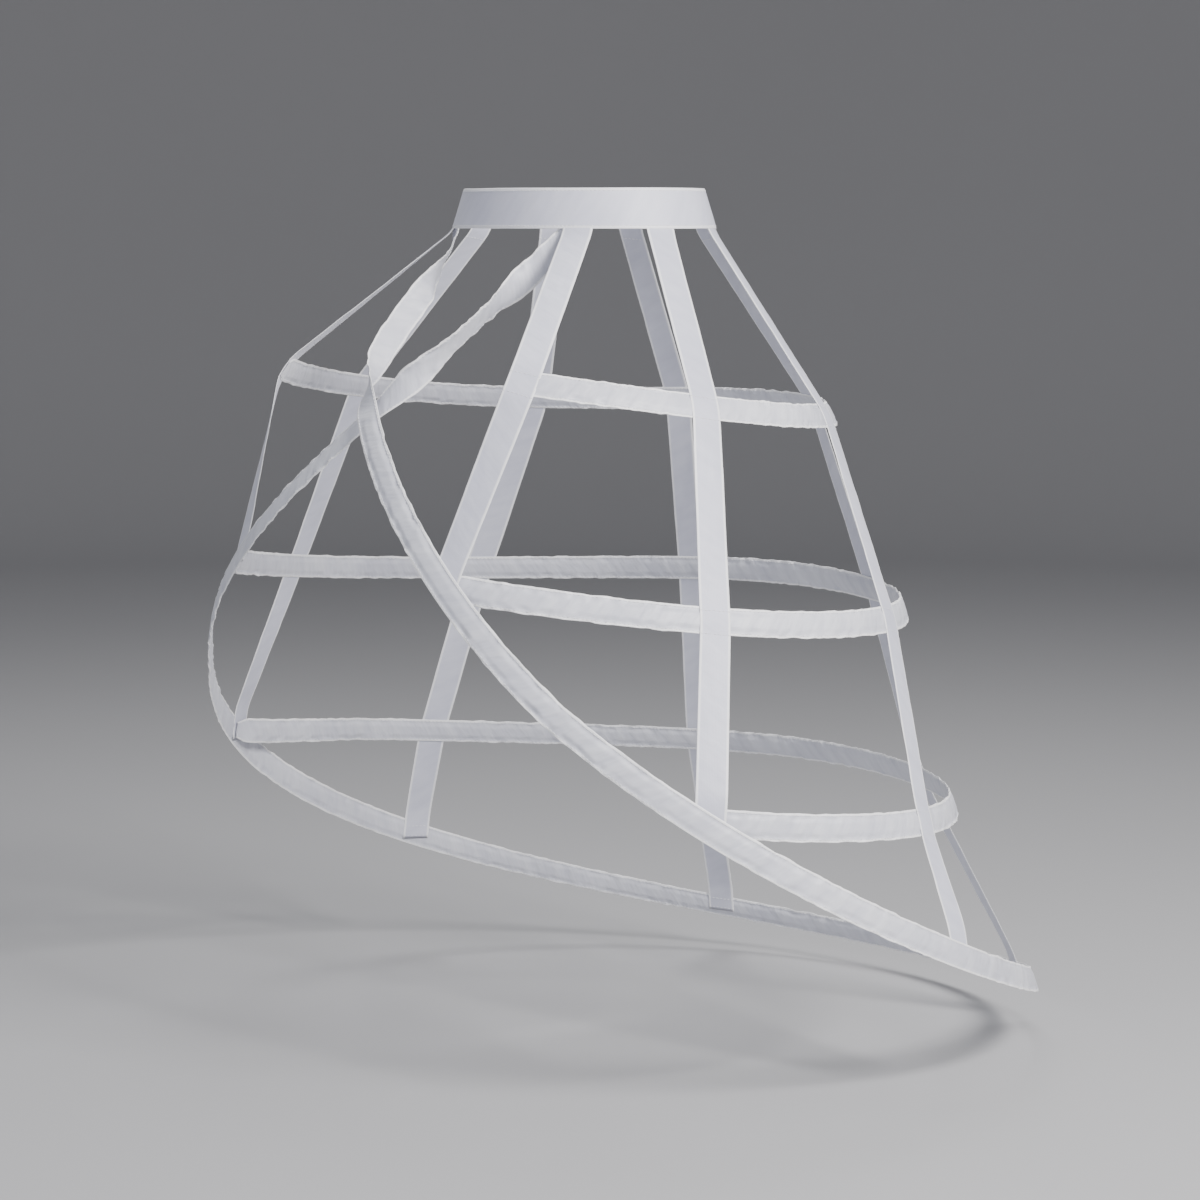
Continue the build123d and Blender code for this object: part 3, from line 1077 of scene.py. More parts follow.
@dataclass(frozen=True)
class RibbonFinish:
    """Satin ribbon: fine weave, a painted highlight along the selvage, a tone that varies at random with
    painted shade in its wrinkles, and a soft sheen. Its lengths are in metres.
    """

    name: str
    colour: Colour
    # Darker colour, laid in random patches of tone and, as painted shade, in the hollows of the wrinkles.
    shade: Colour
    # Colour of the painted highlight along both edges of the ribbon, at the selvage.
    selvage_highlight: Colour
    selvage_highlight_ramp: Span = (0.8, 0.9)
    weave_pitch: float = 0.0006
    weave_height: float = 0.00004
    weave_strength: float = 0.6
    weave_scale: float = 0.314
    weave_detail: float = 1.0
    warp_share: float = 0.5
    warp_distortion: float = 0.4
    weft_distortion: float = 0.6
    wrinkle_height: float = 0.0005
    wrinkle_strength: float = 0.8
    wrinkle_scale: float = 110.0
    wrinkle_detail: float = 2.0
    wrinkle_angle: float = 32.0
    wrinkle_stretch: float = 0.3
    patch_scale: float = 14.0
    patch_detail: float = 3.0
    shade_ramp: Span = (0.7, 1.3)
    roughness: Span = (0.36, 0.5)
    sheen: float = 0.35
    sheen_roughness: float = 0.4
    specular: float = 0.45
    anisotropic: float = 0.35
    opacity: float = 0.94

    def weave(self, build: MaterialBuilder, pattern: Socket) -> Socket:
        """Relief of the weft and warp threads.

        Args:
            build: The material's builder.
            pattern: Place on the flat ribbon.

        Returns:
            The relief.
        """
        threads = 1.0 / self.weave_pitch
        ribs = build.mapped(pattern, Scale=(threads * self.warp_share, threads, 1.0))
        waves = []
        for direction, distortion in (("Y", self.weft_distortion), ("X", self.warp_distortion)):
            inputs = {
                "Vector": ribs,
                "Scale": self.weave_scale,
                "Distortion": distortion,
                "Detail": self.weave_detail,
            }
            options = {"wave_type": "BANDS", "bands_direction": direction}
            waves.append(build.result("ShaderNodeTexWave", inputs, "Fac", **options))
        return build.math("ADD", *waves)

    def wrinkle(self, build: MaterialBuilder, pattern: Socket) -> Socket:
        """Slanting wrinkles of the cloth.

        Args:
            build: The material's builder.
            pattern: Place on the flat ribbon.

        Returns:
            The wrinkles, from 0 to 1.
        """
        turned = build.mapped(pattern, Rotation=(0.0, 0.0, math.radians(self.wrinkle_angle)))
        stretched = build.mapped(turned, Scale=(self.wrinkle_stretch, 1.0, 1.0))
        return build.noise(stretched, self.wrinkle_scale, self.wrinkle_detail)

    def material(self) -> bpy.types.Material:
        """Makes the ribbon's material.

        Returns:
            The material.
        """
        build = MaterialBuilder(self.name)
        pattern = build.result("ShaderNodeUVMap", {}, "UV", uv_map="UVMap")
        wrinkle = self.wrinkle(build, pattern)
        patch = build.noise(build.place(), self.patch_scale, self.patch_detail)
        edge = build.result("ShaderNodeAttribute", {}, "Fac", attribute_name="selvage_highlight")
        # The wrinkles' hollows take the shade colour as painted shade; the random patches only vary the tone.
        low, high = self.shade_ramp
        inputs = {"Value": build.math("ADD", patch, wrinkle), "From Min": low, "From Max": high}
        tone_and_wrinkle_shade = build.blend(build.result("ShaderNodeMapRange", inputs), self.shade, self.colour)
        wrinkled = build.bump(wrinkle, self.wrinkle_strength, self.wrinkle_height)
        weave = self.weave(build, pattern)
        build.shade(
            # Brighter towards both edges: a painted highlight along the selvage.
            Base_Color=build.blend(build.stepped(edge, *self.selvage_highlight_ramp), tone_and_wrinkle_shade, self.selvage_highlight),
            Roughness=build.ranged(patch, *self.roughness),
            Normal=build.bump(weave, self.weave_strength, self.weave_height, wrinkled),
            Sheen_Weight=self.sheen,
            Sheen_Roughness=self.sheen_roughness,
            Specular_IOR_Level=self.specular,
            Anisotropic=self.anisotropic,
            Alpha=self.opacity,
        )
        return build.material


@dataclass(frozen=True)
class ThreadFinish:
    """Polyester sewing thread: twisted and slightly bright. Its lengths are in metres."""

    name: str
    colour: Colour
    dark_share: float = 0.86
    tint_scale: float = 60.0
    tint_detail: float = 2.0
    ply_scale: float = 900.0
    ply_distortion: float = 1.0
    ply_strength: float = 0.5
    ply_height: float = 0.00008
    roughness: Span = (0.4, 0.6)
    sheen: float = 0.3

    def material(self) -> bpy.types.Material:
        """Makes the thread's material.

        Returns:
            The material.
        """
        build = MaterialBuilder(self.name)
        place = build.place()
        inputs = {"Vector": place, "Scale": self.ply_scale, "Distortion": self.ply_distortion}
        ply = build.result("ShaderNodeTexWave", inputs, "Fac", bands_direction="DIAGONAL")
        tint = build.noise(place, self.tint_scale, self.tint_detail)
        dark = tuple(part * self.dark_share for part in self.colour)
        build.shade(
            Base_Color=build.blend(tint, dark, self.colour),
            Roughness=build.ranged(ply, *self.roughness),
            Normal=build.bump(ply, self.ply_strength, self.ply_height),
            Sheen_Weight=self.sheen,
        )
        return build.material


@dataclass(frozen=True)
class MetalFinish:
    """Drawn or pressed metal with fine scratches along it. Its lengths are in metres."""

    name: str
    colour: Colour
    dull: Colour
    roughness: Span
    drawn_share: float = 0.15
    scratch_scale: float = 700.0
    scratch_detail: float = 3.0
    scratch_strength: float = 0.25
    scratch_height: float = 0.00005
    stain_scale: float = 40.0
    stain_detail: float = 2.0

    def material(self) -> bpy.types.Material:
        """Makes the metal's material.

        Returns:
            The material.
        """
        build = MaterialBuilder(self.name)
        place = build.place()
        drawn = build.mapped(place, Scale=(1.0, 1.0, self.drawn_share))
        scratch = build.noise(drawn, self.scratch_scale, self.scratch_detail)
        stain = build.noise(place, self.stain_scale, self.stain_detail)
        build.shade(
            Base_Color=build.blend(stain, self.dull, self.colour),
            Roughness=build.ranged(scratch, *self.roughness),
            Normal=build.bump(scratch, self.scratch_strength, self.scratch_height),
            Metallic=1.0,
        )
        return build.material


@dataclass(frozen=True)
class FloorFinish:
    """Plain matt studio floor."""

    name: str
    colour: Colour
    dark_share: float = 0.97
    mottle_scale: float = 1.2
    mottle_detail: float = 2.0
    roughness: float = 0.85

    def material(self) -> bpy.types.Material:
        """Makes the floor's material.

        Returns:
            The material.
        """
        build = MaterialBuilder(self.name)
        mottle = build.noise(build.place(), self.mottle_scale, self.mottle_detail)
        dark = tuple(part * self.dark_share for part in self.colour)
        build.shade(Base_Color=build.blend(mottle, dark, self.colour), Roughness=self.roughness)
        return build.material


@dataclass
class Finishes:
    """All materials of the cage."""

    waist: bpy.types.Material
    strap: bpy.types.Material
    tape: bpy.types.Material
    thread: bpy.types.Material
    steel: bpy.types.Material
    tip: bpy.types.Material
    hook: bpy.types.Material

    @classmethod
    def made(cls) -> "Finishes":
        """Makes every material once.

        Returns:
            The set of materials.
        """
        # Each ribbon's selvage colour is a painted highlight along its edges; its shade colour is random tone
        # plus painted shade in its wrinkles.
        waist = RibbonFinish(
            "waist_satin", colour=(0.72, 0.73, 0.84), shade=(0.64, 0.65, 0.77), selvage_highlight=(0.92, 0.92, 0.96)
        )
        strap = RibbonFinish(
            "strap_satin", colour=(0.7, 0.71, 0.81), shade=(0.61, 0.62, 0.73), selvage_highlight=(0.96, 0.96, 0.98)
        )
        tape = RibbonFinish(
            "casing_satin",
            colour=(0.76, 0.77, 0.83),
            shade=(0.6, 0.61, 0.69),
            selvage_highlight=(0.97, 0.97, 0.98),
            wrinkle_height=0.0017,
        )
        thread = ThreadFinish("white_thread", colour=(0.88, 0.88, 0.9))
        steel = MetalFinish(
            "spring_steel", colour=(0.6, 0.61, 0.63), dull=(0.45, 0.46, 0.48), roughness=(0.25, 0.45)
        )
        tip = MetalFinish(
            "pressed_brass", colour=(0.75, 0.6, 0.32), dull=(0.6, 0.46, 0.24), roughness=(0.25, 0.4)
        )
        hook = MetalFinish(
            "plated_hook", colour=(0.72, 0.72, 0.74), dull=(0.58, 0.58, 0.6), roughness=(0.2, 0.38)
        )
        return cls(*(finish.material() for finish in (waist, strap, tape, thread, steel, tip, hook)))


# Pieces


@dataclass(frozen=True)
class Cut:
    """How a ribbon's section and its puckers are made, in millimetres.

    Attributes:
        columns: Vertices across one face.
        flat_half: Half thickness of the flat cloth.
        lift: Extra half thickness over the steel.
        lift_share: Half width of the raised middle, as a share of the ribbon's half width.
        bead: Extra half thickness of the selvage.
        pucker: Height of the puckers.
        pucker_pitch: Distance from pucker to pucker.
        edge_wave: How far the edges wander.
    """

    columns: int
    flat_half: float
    lift: float
    lift_share: float
    bead: float
    pucker: float
    pucker_pitch: float
    edge_wave: float

    def settings(self, seed: int, material: bpy.types.Material) -> dict[str, object]:
        """Inputs of the ribbon tree.

        Args:
            seed: Seed of the puckers.
            material: The ribbon's material.

        Returns:
            Values by input name.
        """
        return {
            "Columns": self.columns,
            "Flat Half": self.flat_half * MILLIMETRE,
            "Lift": self.lift * MILLIMETRE,
            "Lift Share": self.lift_share,
            "Selvage Bead": self.bead * MILLIMETRE,
            "Pucker Height": self.pucker * MILLIMETRE,
            "Pucker Pitch": self.pucker_pitch * MILLIMETRE,
            "Edge Wave": self.edge_wave * MILLIMETRE,
            "Seed": float(seed),
            "Material": material,
        }


STRAP_CUT = Cut(
    columns=17,
    flat_half=FIT.strap_half,
    lift=0.0,
    lift_share=0.01,
    bead=0.12,
    pucker=0.6,
    pucker_pitch=55.0,
    edge_wave=0.35,
)
BAND_CUT = replace(
    STRAP_CUT, flat_half=FIT.band_half, bead=0.1, pucker=0.3, pucker_pitch=40.0, edge_wave=0.3
)
TAPE_CUT = Cut(
    columns=21,
    flat_half=FIT.tape_flat_half,
    lift=FIT.tape_lift,
    lift_share=0.42,
    bead=0.1,
    pucker=2.6,
    pucker_pitch=9.0,
    edge_wave=1.3,
)


@dataclass
class Sewing:
    """Makes ribbons and the stitches on them, all from two trees. Its lengths are in millimetres."""

    finishes: Finishes
    pitch: float = 3.6
    stitch_length: float = 2.9
    thread_radius: float = 0.28
    thread_rise_share: float = 0.4
    ribbons: bpy.types.NodeTree = field(default_factory=ribbon_tree)
    stitches: bpy.types.NodeTree = field(default_factory=stitch_tree)

    def ribbon(
        self, name: str, path: RibbonPath, cut: Cut, seed: int, material: bpy.types.Material
    ) -> bpy.types.Object:
        """Makes one ribbon.

        Args:
            name: Name of the piece.
            path: Its stations.
            cut: Its section.
            seed: Seed of its puckers.
            material: Its material.

        Returns:
            The piece, a closed plain mesh.
        """
        runs = path.distances()
        axes = [path.axes(index) for index in range(len(path.stations))]
        last = len(runs) - 1
        fields = {
            "across": [across for across, _ in axes],
            "outward": [outward for _, outward in axes],
            "half_width": [path.half_width * station.width * MILLIMETRE for station in path.stations],
            "loose": [path.looseness(run, runs[-1]) for run in runs],
            "run": [run * MILLIMETRE for run in runs],
            "ends": [0.0 if place in (0, last) else 1.0 for place in range(len(runs))],
            "cup": [station.cup / MILLIMETRE for station in path.stations],
            "steel": [station.steel for station in path.stations],
        }
        row = point_row(name + "_row", [[station.place for station in path.stations]], fields)
        return new_piece(name, run_tree(row, self.ribbons, cut.settings(seed, material)))

    def stitched(self, name: str, cloth: bpy.types.Object, rows: list[Row], seed: int) -> bpy.types.Object:
        """Sews rows of stitches onto a piece of cloth.

        Args:
            name: Name of the stitches' piece.
            cloth: The piece that they lie on.
            rows: Points beside the cloth in millimetres, each with the way out of its face.
            seed: Seed of the stitches' unevenness.

        Returns:
            The stitches as one plain mesh.
        """
        corners = [vertex.co for vertex in cloth.data.vertices]
        surface = BVHTree.FromPolygons(corners, [tuple(face.vertices) for face in cloth.data.polygons])
        laid: list[list[Vector]] = []
        facings: list[Vector] = []
        for row in rows:
            line = []
            for point, facing in row:
                hit = surface.ray_cast(point * MILLIMETRE, -facing)[0]
                if hit is not None:
                    line.append(hit / MILLIMETRE + facing * self.thread_radius * self.thread_rise_share)
                    facings.append(facing)
            laid.append(line)
        source = point_row(name + "_rows", laid, {"facing": facings})
        settings = {
            "Pitch": self.pitch * MILLIMETRE,
            "Stitch Length": self.stitch_length * MILLIMETRE,
            "Thread Radius": self.thread_radius * MILLIMETRE,
            "Seed": seed,
            "Material": self.finishes.thread,
        }
        return new_piece(name, run_tree(source, self.stitches, settings))


def settle(piece: bpy.types.Object, node: Optional[str] = None) -> None:
    """Lets a piece ride on the cage.

    Args:
        piece: The piece.
        node: The node that it stands for, if any.
    """
    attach(piece, BODY)
    if node:
        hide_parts(node)
    LOG.info("%s: %d faces", piece.name, len(piece.data.polygons))


def plate(node: str, metal: bpy.types.Material) -> None:
    """Gives a node that keeps its solid its metal."""
    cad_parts[node].material_slots[0].material = metal
    LOG.info("%s: %s", node, metal.name)


@dataclass
class Waistband:
    """The waist ribbon, lapped at the back, with a row of stitches along each edge."""

    sewing: Sewing
    step_angle: float = 1.2
    seam_share: float = 0.86
    seam_reach: float = 4.0
    seed: int = 3

    def path(self) -> RibbonPath:
        """Stations round the waist, from the inner lap to the outer lap.

        Returns:
            The path.
        """
        lap_angle = WAIST_LINE.turn(BACK, WAIST.lap / 2)
        start = -BACK - lap_angle
        span = FULL_TURN + 2 * lap_angle
        count = round(span / self.step_angle)
        stations = []
        for step in range(count + 1):
            angle = start + span * step / count
            to_lap = (angle - (BACK - lap_angle - WAIST.lap_ramp_angle)) / WAIST.lap_ramp_angle
            outward = band_normal(angle)
            place = WAIST_LINE.point(angle) - band_down(angle) * WAIST.slant / 2
            stations.append(Station(place + outward * swell(to_lap) * WAIST.lap_lift, outward))
        return RibbonPath(stations, WAIST.slant / 2)

    def build(self) -> None:
        """Makes the ribbon and its stitches."""
        path = self.path()
        satin = self.sewing.finishes.waist
        self.band = self.sewing.ribbon("waistband_ribbon", path, BAND_CUT, self.seed, satin)
        rows = path.edge_rows(self.seam_share, self.seam_reach)
        self.thread = self.sewing.stitched("waistband_stitches", self.band, rows, self.seed)
        self.flat = path.flat_size()

    def dress(self) -> None:
        settle(self.band, "waistband")
        settle(self.thread)


@dataclass
class Casing:
    """The sewn tape of one hoop, with two rows of stitches on each face."""

    sewing: Sewing
    name: str
    stations: list[Station]
    held_at: list[float]
    seed: int
    seam_share: float = 0.84
    seam_reach: float = 5.0
    seam_inset: int = 2

    def build(self) -> None:
        """Makes the tape and its stitches."""
        path = RibbonPath(self.stations, FIT.tape_half_width, self.held_at)
        satin = self.sewing.finishes.tape
        self.tape = self.sewing.ribbon(self.name + "_tape", path, TAPE_CUT, self.seed, satin)
        rows = path.edge_rows(self.seam_share, self.seam_reach, self.seam_inset)
        self.thread = self.sewing.stitched(self.name + "_stitches", self.tape, rows, self.seed)
        self.flat = path.flat_size()

    def dress(self) -> None:
        settle(self.tape, self.name + "_casing")
        settle(self.thread)


@dataclass
class Hoops:
    """The three open hoops and the hem hoop that crosses itself at the front."""

    sewing: Sewing
    step_angle: float = 0.45
    top_angle: float = 47.0
    top_tuck: float = 12.0
    top_steps: int = 90
    top_lean_angle: float = -48.0
    top_flat_share: float = 0.15
    top_twist_share: float = 0.35
    top_turn_share: float = 0.6
    top_ramp: float = 16.0
    end_length: float = 24.0
    end_seat: float = 6.0
    end_ramp: float = 9.0
    end_taper: float = 16.0
    end_taper_share: float = 0.35
    seed: int = 20
    hem_seed: int = 31

    def open_hoop(self, place: int, name: str) -> Casing:
        """Casing of one open hoop.

        Args:
            place: Number of the hoop from the top.
            name: Name of the hoop.

        Returns:
            The casing, not yet built.
        """
        hoop = HOOPS[name]
        span = hoop.last_angle - hoop.first_angle
        count = round(span / self.step_angle)
        angles = [hoop.first_angle + span * step / count for step in range(count + 1)]
        stations = [Station(hoop.point(angle), hoop.outward(angle)) for angle in angles]
        crossed = [strap.hoops[place] for strap in STRAP_SETS.values() if len(strap.hoops) > place]
        held = self.held_distances(stations, angles, crossed)
        shift = HEM.hoop_depth(hoop.end_angle) - FIT.end_to_hem if hoop.ends_on_hem else 0.0
        self.sewn_ends(stations, shift, 0.0)
        return Casing(self.sewing, name, stations, held, self.seed + place)

    def sewn_ends(self, stations: list[Station], shift: float, cup: float) -> None:
        """Flattens both ends of a casing, past its steel, onto what they are sewn to.

        Args:
            stations: The casing's stations, which are changed.
            shift: How far the ends move outward.
            cup: Curvature of the ends across their width.
        """
        runs = RibbonPath(stations, FIT.tape_half_width).distances()
        for station, run in zip(stations, runs):
            to_end = min(run, runs[-1] - run)
            free = smooth((self.end_length - to_end) / (self.end_length - self.end_seat))
            station.place = station.place + station.outward * shift * free
            station.cup = cup * free
            station.steel = 1.0 - smooth((self.end_length - to_end) / self.end_ramp)
            station.width = 1.0 - self.end_taper_share * smooth(1.0 - to_end / self.end_taper)

    def plain_tops(self, stations: list[Station], count: int) -> None:
        """Takes the steel out of the hem's tops, down to the front crossing.

        Args:
            stations: The hem's stations, which are changed.
            count: Number of stations in each top.
        """
        runs = RibbonPath(stations, FIT.tape_half_width).distances()
        first, last = runs[count], runs[-count - 1]
        for station, run in zip(stations, runs):
            station.steel = smooth(min(run - first, last - run) / self.top_ramp)

    def held_distances(
        self, stations: list[Station], angles: list[float], crossed: list[float]
    ) -> list[float]:
        """Distances along a hoop where straps are sewn to it.

        Args:
            stations: The hoop's stations.
            angles: Their angles.
            crossed: Strap angles on the wearer's left.

        Returns:
            The distances in millimetres.
        """
        runs = RibbonPath(stations, FIT.tape_half_width).distances()
        wanted = crossed + [FULL_TURN - angle for angle in crossed]
        return [min(zip(angles, runs), key=lambda pair: abs(pair[0] - angle))[1] for angle in wanted]

    def hem_top(self, side: Side) -> list[Station]:
        """Stations from the waistband down to the front crossing, for one end of the hem.

        Args:
            side: Wearer's side of the waist end.

        Returns:
            The stations in the order in which the hem runs.
        """
        sign = side.value
        angle = sign * self.top_angle
        crossing_at = 0.0 if side is Side.RIGHT else FULL_TURN
        outward = band_normal(angle)
        seat = WAIST_LINE.point(angle) - outward * self.top_depth(angle)
        crossing = HEM.point(crossing_at)
        down = square_to(crossing - seat, outward)
        top = seat - down * self.top_tuck
        arrive = HEM.tangent(crossing_at) * -sign
        reach = (crossing - top).length
        stations = []
        for step in range(self.top_steps):
            share = step / self.top_steps
            place = hermite(top, down * reach, crossing, arrive * reach, share)
            ahead = hermite(top, down * reach, crossing, arrive * reach, share + 1.0 / self.top_steps)
            along = (ahead - place).normalized() * -sign
            twist = 1.0 - smooth((share - self.top_flat_share) / self.top_twist_share)
            turned = swell((share - self.top_turn_share) / (1.0 - self.top_turn_share))
            lean = self.top_lean_angle + (HEM.crossing_lean_angle - self.top_lean_angle) * turned
            flat = outward.cross(along).normalized()
            across = square_to(leaning(along, lean) * (1.0 - twist) + flat * twist, along)
            stations.append(Station(place, along.cross(across)))
        return stations if side is Side.RIGHT else stations[::-1]

    def top_depth(self, angle: float) -> float:
        """Depth of the hem's flat end behind the curved band and the strap.

        Args:
            angle: Degrees from the front.

        Returns:
            The depth in millimetres.
        """
        outward = band_normal(angle)
        corner = math.hypot(self.top_tuck, FIT.tape_half_width)
        reach = FIT.strap_half_width
        over_strap = WAIST_LINE.curvature(angle, reach, outward) * reach**2 / 2
        ease = over_strap + WAIST_LINE.curvature(angle, corner, outward) * corner**2 / 2
        return FIT.band_depth + FIT.sewn_depth + ease

    def hem_hoop(self) -> Casing:
        """Casing of the hem hoop, from one waist end to the other.

        Returns:
            The casing, not yet built.
        """
        count = round(FULL_TURN / self.step_angle)
        angles = [FULL_TURN * step / count for step in range(count + 1)]
        around = [Station(HEM.point(angle), HEM.outward(angle)) for angle in angles]
        first = self.hem_top(Side.RIGHT)
        stations = first + around + self.hem_top(Side.LEFT)
        normal = band_normal(self.top_angle)
        cup = WAIST_LINE.curvature(self.top_angle, FIT.tape_half_width, normal)
        self.sewn_ends(stations, self.top_depth(self.top_angle) - FIT.end_to_band, cup)
        self.plain_tops(stations, len(first))
        crossed = [strap.hem for strap in STRAP_SETS.values()]
        runs = RibbonPath(stations, FIT.tape_half_width).distances()
        offset = runs[len(first)]
        held = [offset + run for run in self.held_distances(around, angles, crossed)]
        held += [offset, runs[len(first) + count]]
        return Casing(self.sewing, "hem_hoop", stations, held, self.hem_seed)

    def build(self) -> None:
        """Makes all four casings."""
        self.casings = [self.open_hoop(place, name) for place, name in enumerate(HOOPS)] + [self.hem_hoop()]
        for casing in self.casings:
            casing.build()

    def dress(self) -> None:
        """Dresses the casings, and the steels and tips inside them."""
        for casing in self.casings:
            casing.dress()
            plate(casing.name + "_steel", self.sewing.finishes.steel)
        plate("steel_tips", self.sewing.finishes.tip)


def over_flat(_gap: float) -> float:
    """Height of a strap's middle over a casing's middle past the end of its steel."""
    return FIT.tape_flat_half + FIT.strap_half + 3 * FIT.ease


def over_tape(gap: float) -> float:
    """Height of a strap's middle over a casing's middle.

    Args:
        gap: Distance from the casing's middle line along the strap, in millimetres.

    Returns:
        The height in millimetres.
    """
    share = abs(gap) / FIT.tape_half_width
    low = TAPE_CUT.lift_share * FORM.ridge_foot
    high = TAPE_CUT.lift_share * FORM.ridge_top
    ridge = smooth((share - low) / (high - low))
    return FIT.tape_flat_half + FIT.tape_lift * ridge + FIT.strap_half + FIT.ease


def under_tape(gap: float) -> float:
    """Height of a strap's middle over the middle of a casing that it lies behind."""
    return -over_tape(gap)


def under_band(_gap: float) -> float:
    """Height of a strap's middle over the middle of the waistband that it lies behind."""
    return -FIT.strap_to_band


@dataclass(frozen=True)
class Seat:
    """A place where a strap is sewn down, in millimetres.

    Attributes:
        place: Middle of what carries it.
        normal: Outward normal there.
        cup: Curvature there.
        height: The strap's height over it at a distance along the strap.
        before: The strap's reach before it.
        after: The strap's reach after it.
    """

    place: Vector
    normal: Vector
    cup: float
    height: Callable[[float], float]
    before: float
    after: float


@dataclass
class Strap:
    """One hanging strap, inside the waistband, over the hoops and inside the hem.

    Attributes:
        sewing: The maker of ribbons.
        node: The node that it stands for.
        side: Wearer's side.
        angles: Where it leaves the waistband, crosses the hoops and ends.
        seed: Seed of its puckers.
    """

    sewing: Sewing
    node: str
    side: Side
    angles: StrapAngles
    seed: int
    tuck: float = 20.0
    waist_exit: float = 1.5
    hem_rise: float = 24.0
    hem_tail: float = 4.0
    step: float = 3.0
    softening: int = 6
    seam_share: float = 0.72
    seam_width_share: float = 0.9
    seam_reach: float = 4.0
    seam_steps: int = 8

    def on_side(self, angle: float) -> float:
        """Angle of the same place on the strap's own side."""
        return angle if self.side is Side.LEFT else FULL_TURN - angle

    def seats(self) -> list[Seat]:
        """Places where the strap is sewn down.

        Returns:
            The seats from the waist to the hem.
        """
        reach = FIT.strap_half_width
        half = FIT.tape_half_width
        waist = self.side.value * self.angles.waist
        normal = band_normal(waist)
        cup = WAIST_LINE.curvature(waist, reach, normal)
        found = [Seat(WAIST_LINE.point(waist), normal, cup, under_band, self.tuck, self.waist_exit)]
        for hoop, angle in zip(HOOPS.values(), self.angles.hoops):
            at = self.on_side(angle)
            normal = hoop.outward(at)
            past_steel = angle == FRONT_AT_UPPER and not hoop.ends_on_hem
            height = over_flat if past_steel else over_tape
            found.append(Seat(hoop.point(at), normal, hoop.curvature(at, reach, normal), height, half, half))
        at = self.on_side(self.angles.hem)
        normal = HEM.outward(at)
        cup = HEM.curvature(at, reach, normal)
        found.append(Seat(HEM.point(at), normal, cup, under_tape, self.hem_rise, self.hem_tail))
        return found

    def path(self) -> RibbonPath:
        """Stations from the waist to the hem.

        Returns:
            The path.
        """
        seats = self.seats()
        stations: list[Station] = []
        marks: list[int] = []
        for number, seat in enumerate(seats):
            if number == 0:
                along = band_down(self.side.value * self.angles.waist)
            else:
                following = seats[min(number + 1, len(seats) - 1)]
                along = following.place - seats[number - 1].place
            along = square_to(along, seat.normal)
            span = seat.before + seat.after
            count = max(2, round(span / self.step))
            local = []
            for step in range(count + 1):
                gap = -seat.before + span * step / count
                place = seat.place + along * gap + seat.normal * seat.height(gap)
                local.append(Station(place, seat.normal, seat.cup))
            if stations:
                stations += self.run(stations[-1], local[0])
            marks.append(len(stations) + round(count * seat.before / span))
            stations += local
        path = RibbonPath(stations, FIT.strap_half_width).softened(self.softening)
        runs = path.distances()
        path.held_at = [runs[mark] for mark in marks]
        self.marks = marks
        return path

    def run(self, first: Station, last: Station) -> list[Station]:
        """Stations of the free run between two seats.

        Args:
            first: The station where it leaves a seat.
            last: The station where it meets the next seat.

        Returns:
            The stations between them.
        """
        count = max(2, round((last.place - first.place).length / self.step))
        made = []
        for step in range(1, count):
            share = step / count
            place = first.place.lerp(last.place, share)
            outward = first.outward.lerp(last.outward, share).normalized()
            made.append(Station(place, outward, first.cup + (last.cup - first.cup) * share))
        return made

    def seams(self, path: RibbonPath) -> list[Row]:
        """Rows of stitches across the strap where it is sewn down.

        Args:
            path: The strap's stations.

        Returns:
            Rows of points beside the strap, each with the way out of its face.
        """
        rows = []
        width = FIT.strap_half_width * self.seam_width_share
        steps = [-width + width * 2 * step / self.seam_steps for step in range(self.seam_steps + 1)]
        span = max(1, round(FIT.tape_half_width * self.seam_share / self.step))
        for place, mark in enumerate(self.marks):
            facing_out = 0 < place < len(self.marks) - 1
            for shift in (-span, span):
                index = min(max(mark + shift, 1), len(path.stations) - 2)
                across, outward = path.axes(index)
                facing = outward if facing_out else -outward
                middle = path.stations[index].place + facing * self.seam_reach
                rows.append([(middle + across * step, facing) for step in steps])
        return rows

    def build(self) -> None:
        """Makes the ribbon and its seams."""
        path = self.path()
        satin = self.sewing.finishes.strap
        self.ribbon = self.sewing.ribbon(self.node + "_ribbon", path, STRAP_CUT, self.seed, satin)
        self.thread = self.sewing.stitched(self.node + "_stitches", self.ribbon, self.seams(path), self.seed)
        self.flat = path.flat_size()

    def dress(self) -> None:
        settle(self.ribbon, self.node)
        settle(self.thread)


@dataclass
class Straps:
    """The eight hanging straps."""

    sewing: Sewing
    seed: int = 50

    def build(self) -> None:
        """Makes every strap with its seams."""
        self.straps = []
        for name, angles in STRAP_SETS.items():
            for side in Side:
                node = f"{name}_{side.name.lower()}"
                strap = Strap(self.sewing, node, side, angles, self.seed + len(self.straps))
                strap.build()
                self.straps.append(strap)

    def dress(self) -> None:
        """Dresses every strap."""
        for strap in self.straps:
            strap.dress()


@dataclass
class Closure:
    """Skirt hooks and bars of the back closure, which keep their solids."""

    finishes: Finishes

    def dress(self) -> None:
        """Gives the hooks and bars their metal."""
        for node in ("skirt_hooks", "skirt_bars"):
            plate(node, self.finishes.hook)


# Studio


@dataclass(frozen=True)
class Lamp:
    """A soft square light, placed from the waist axis as the camera sees it.

    Attributes:
        name: Name of the light.
        towards: Metres from the axis towards the camera.
        right: Metres to the camera's right.
        up: Metres up.
        size: Side of its face in metres.
        power: Watts.
        colour: Its colour.
    """

    name: str
    towards: float
    right: float
    up: float
    size: float
    power: float
    colour: Colour


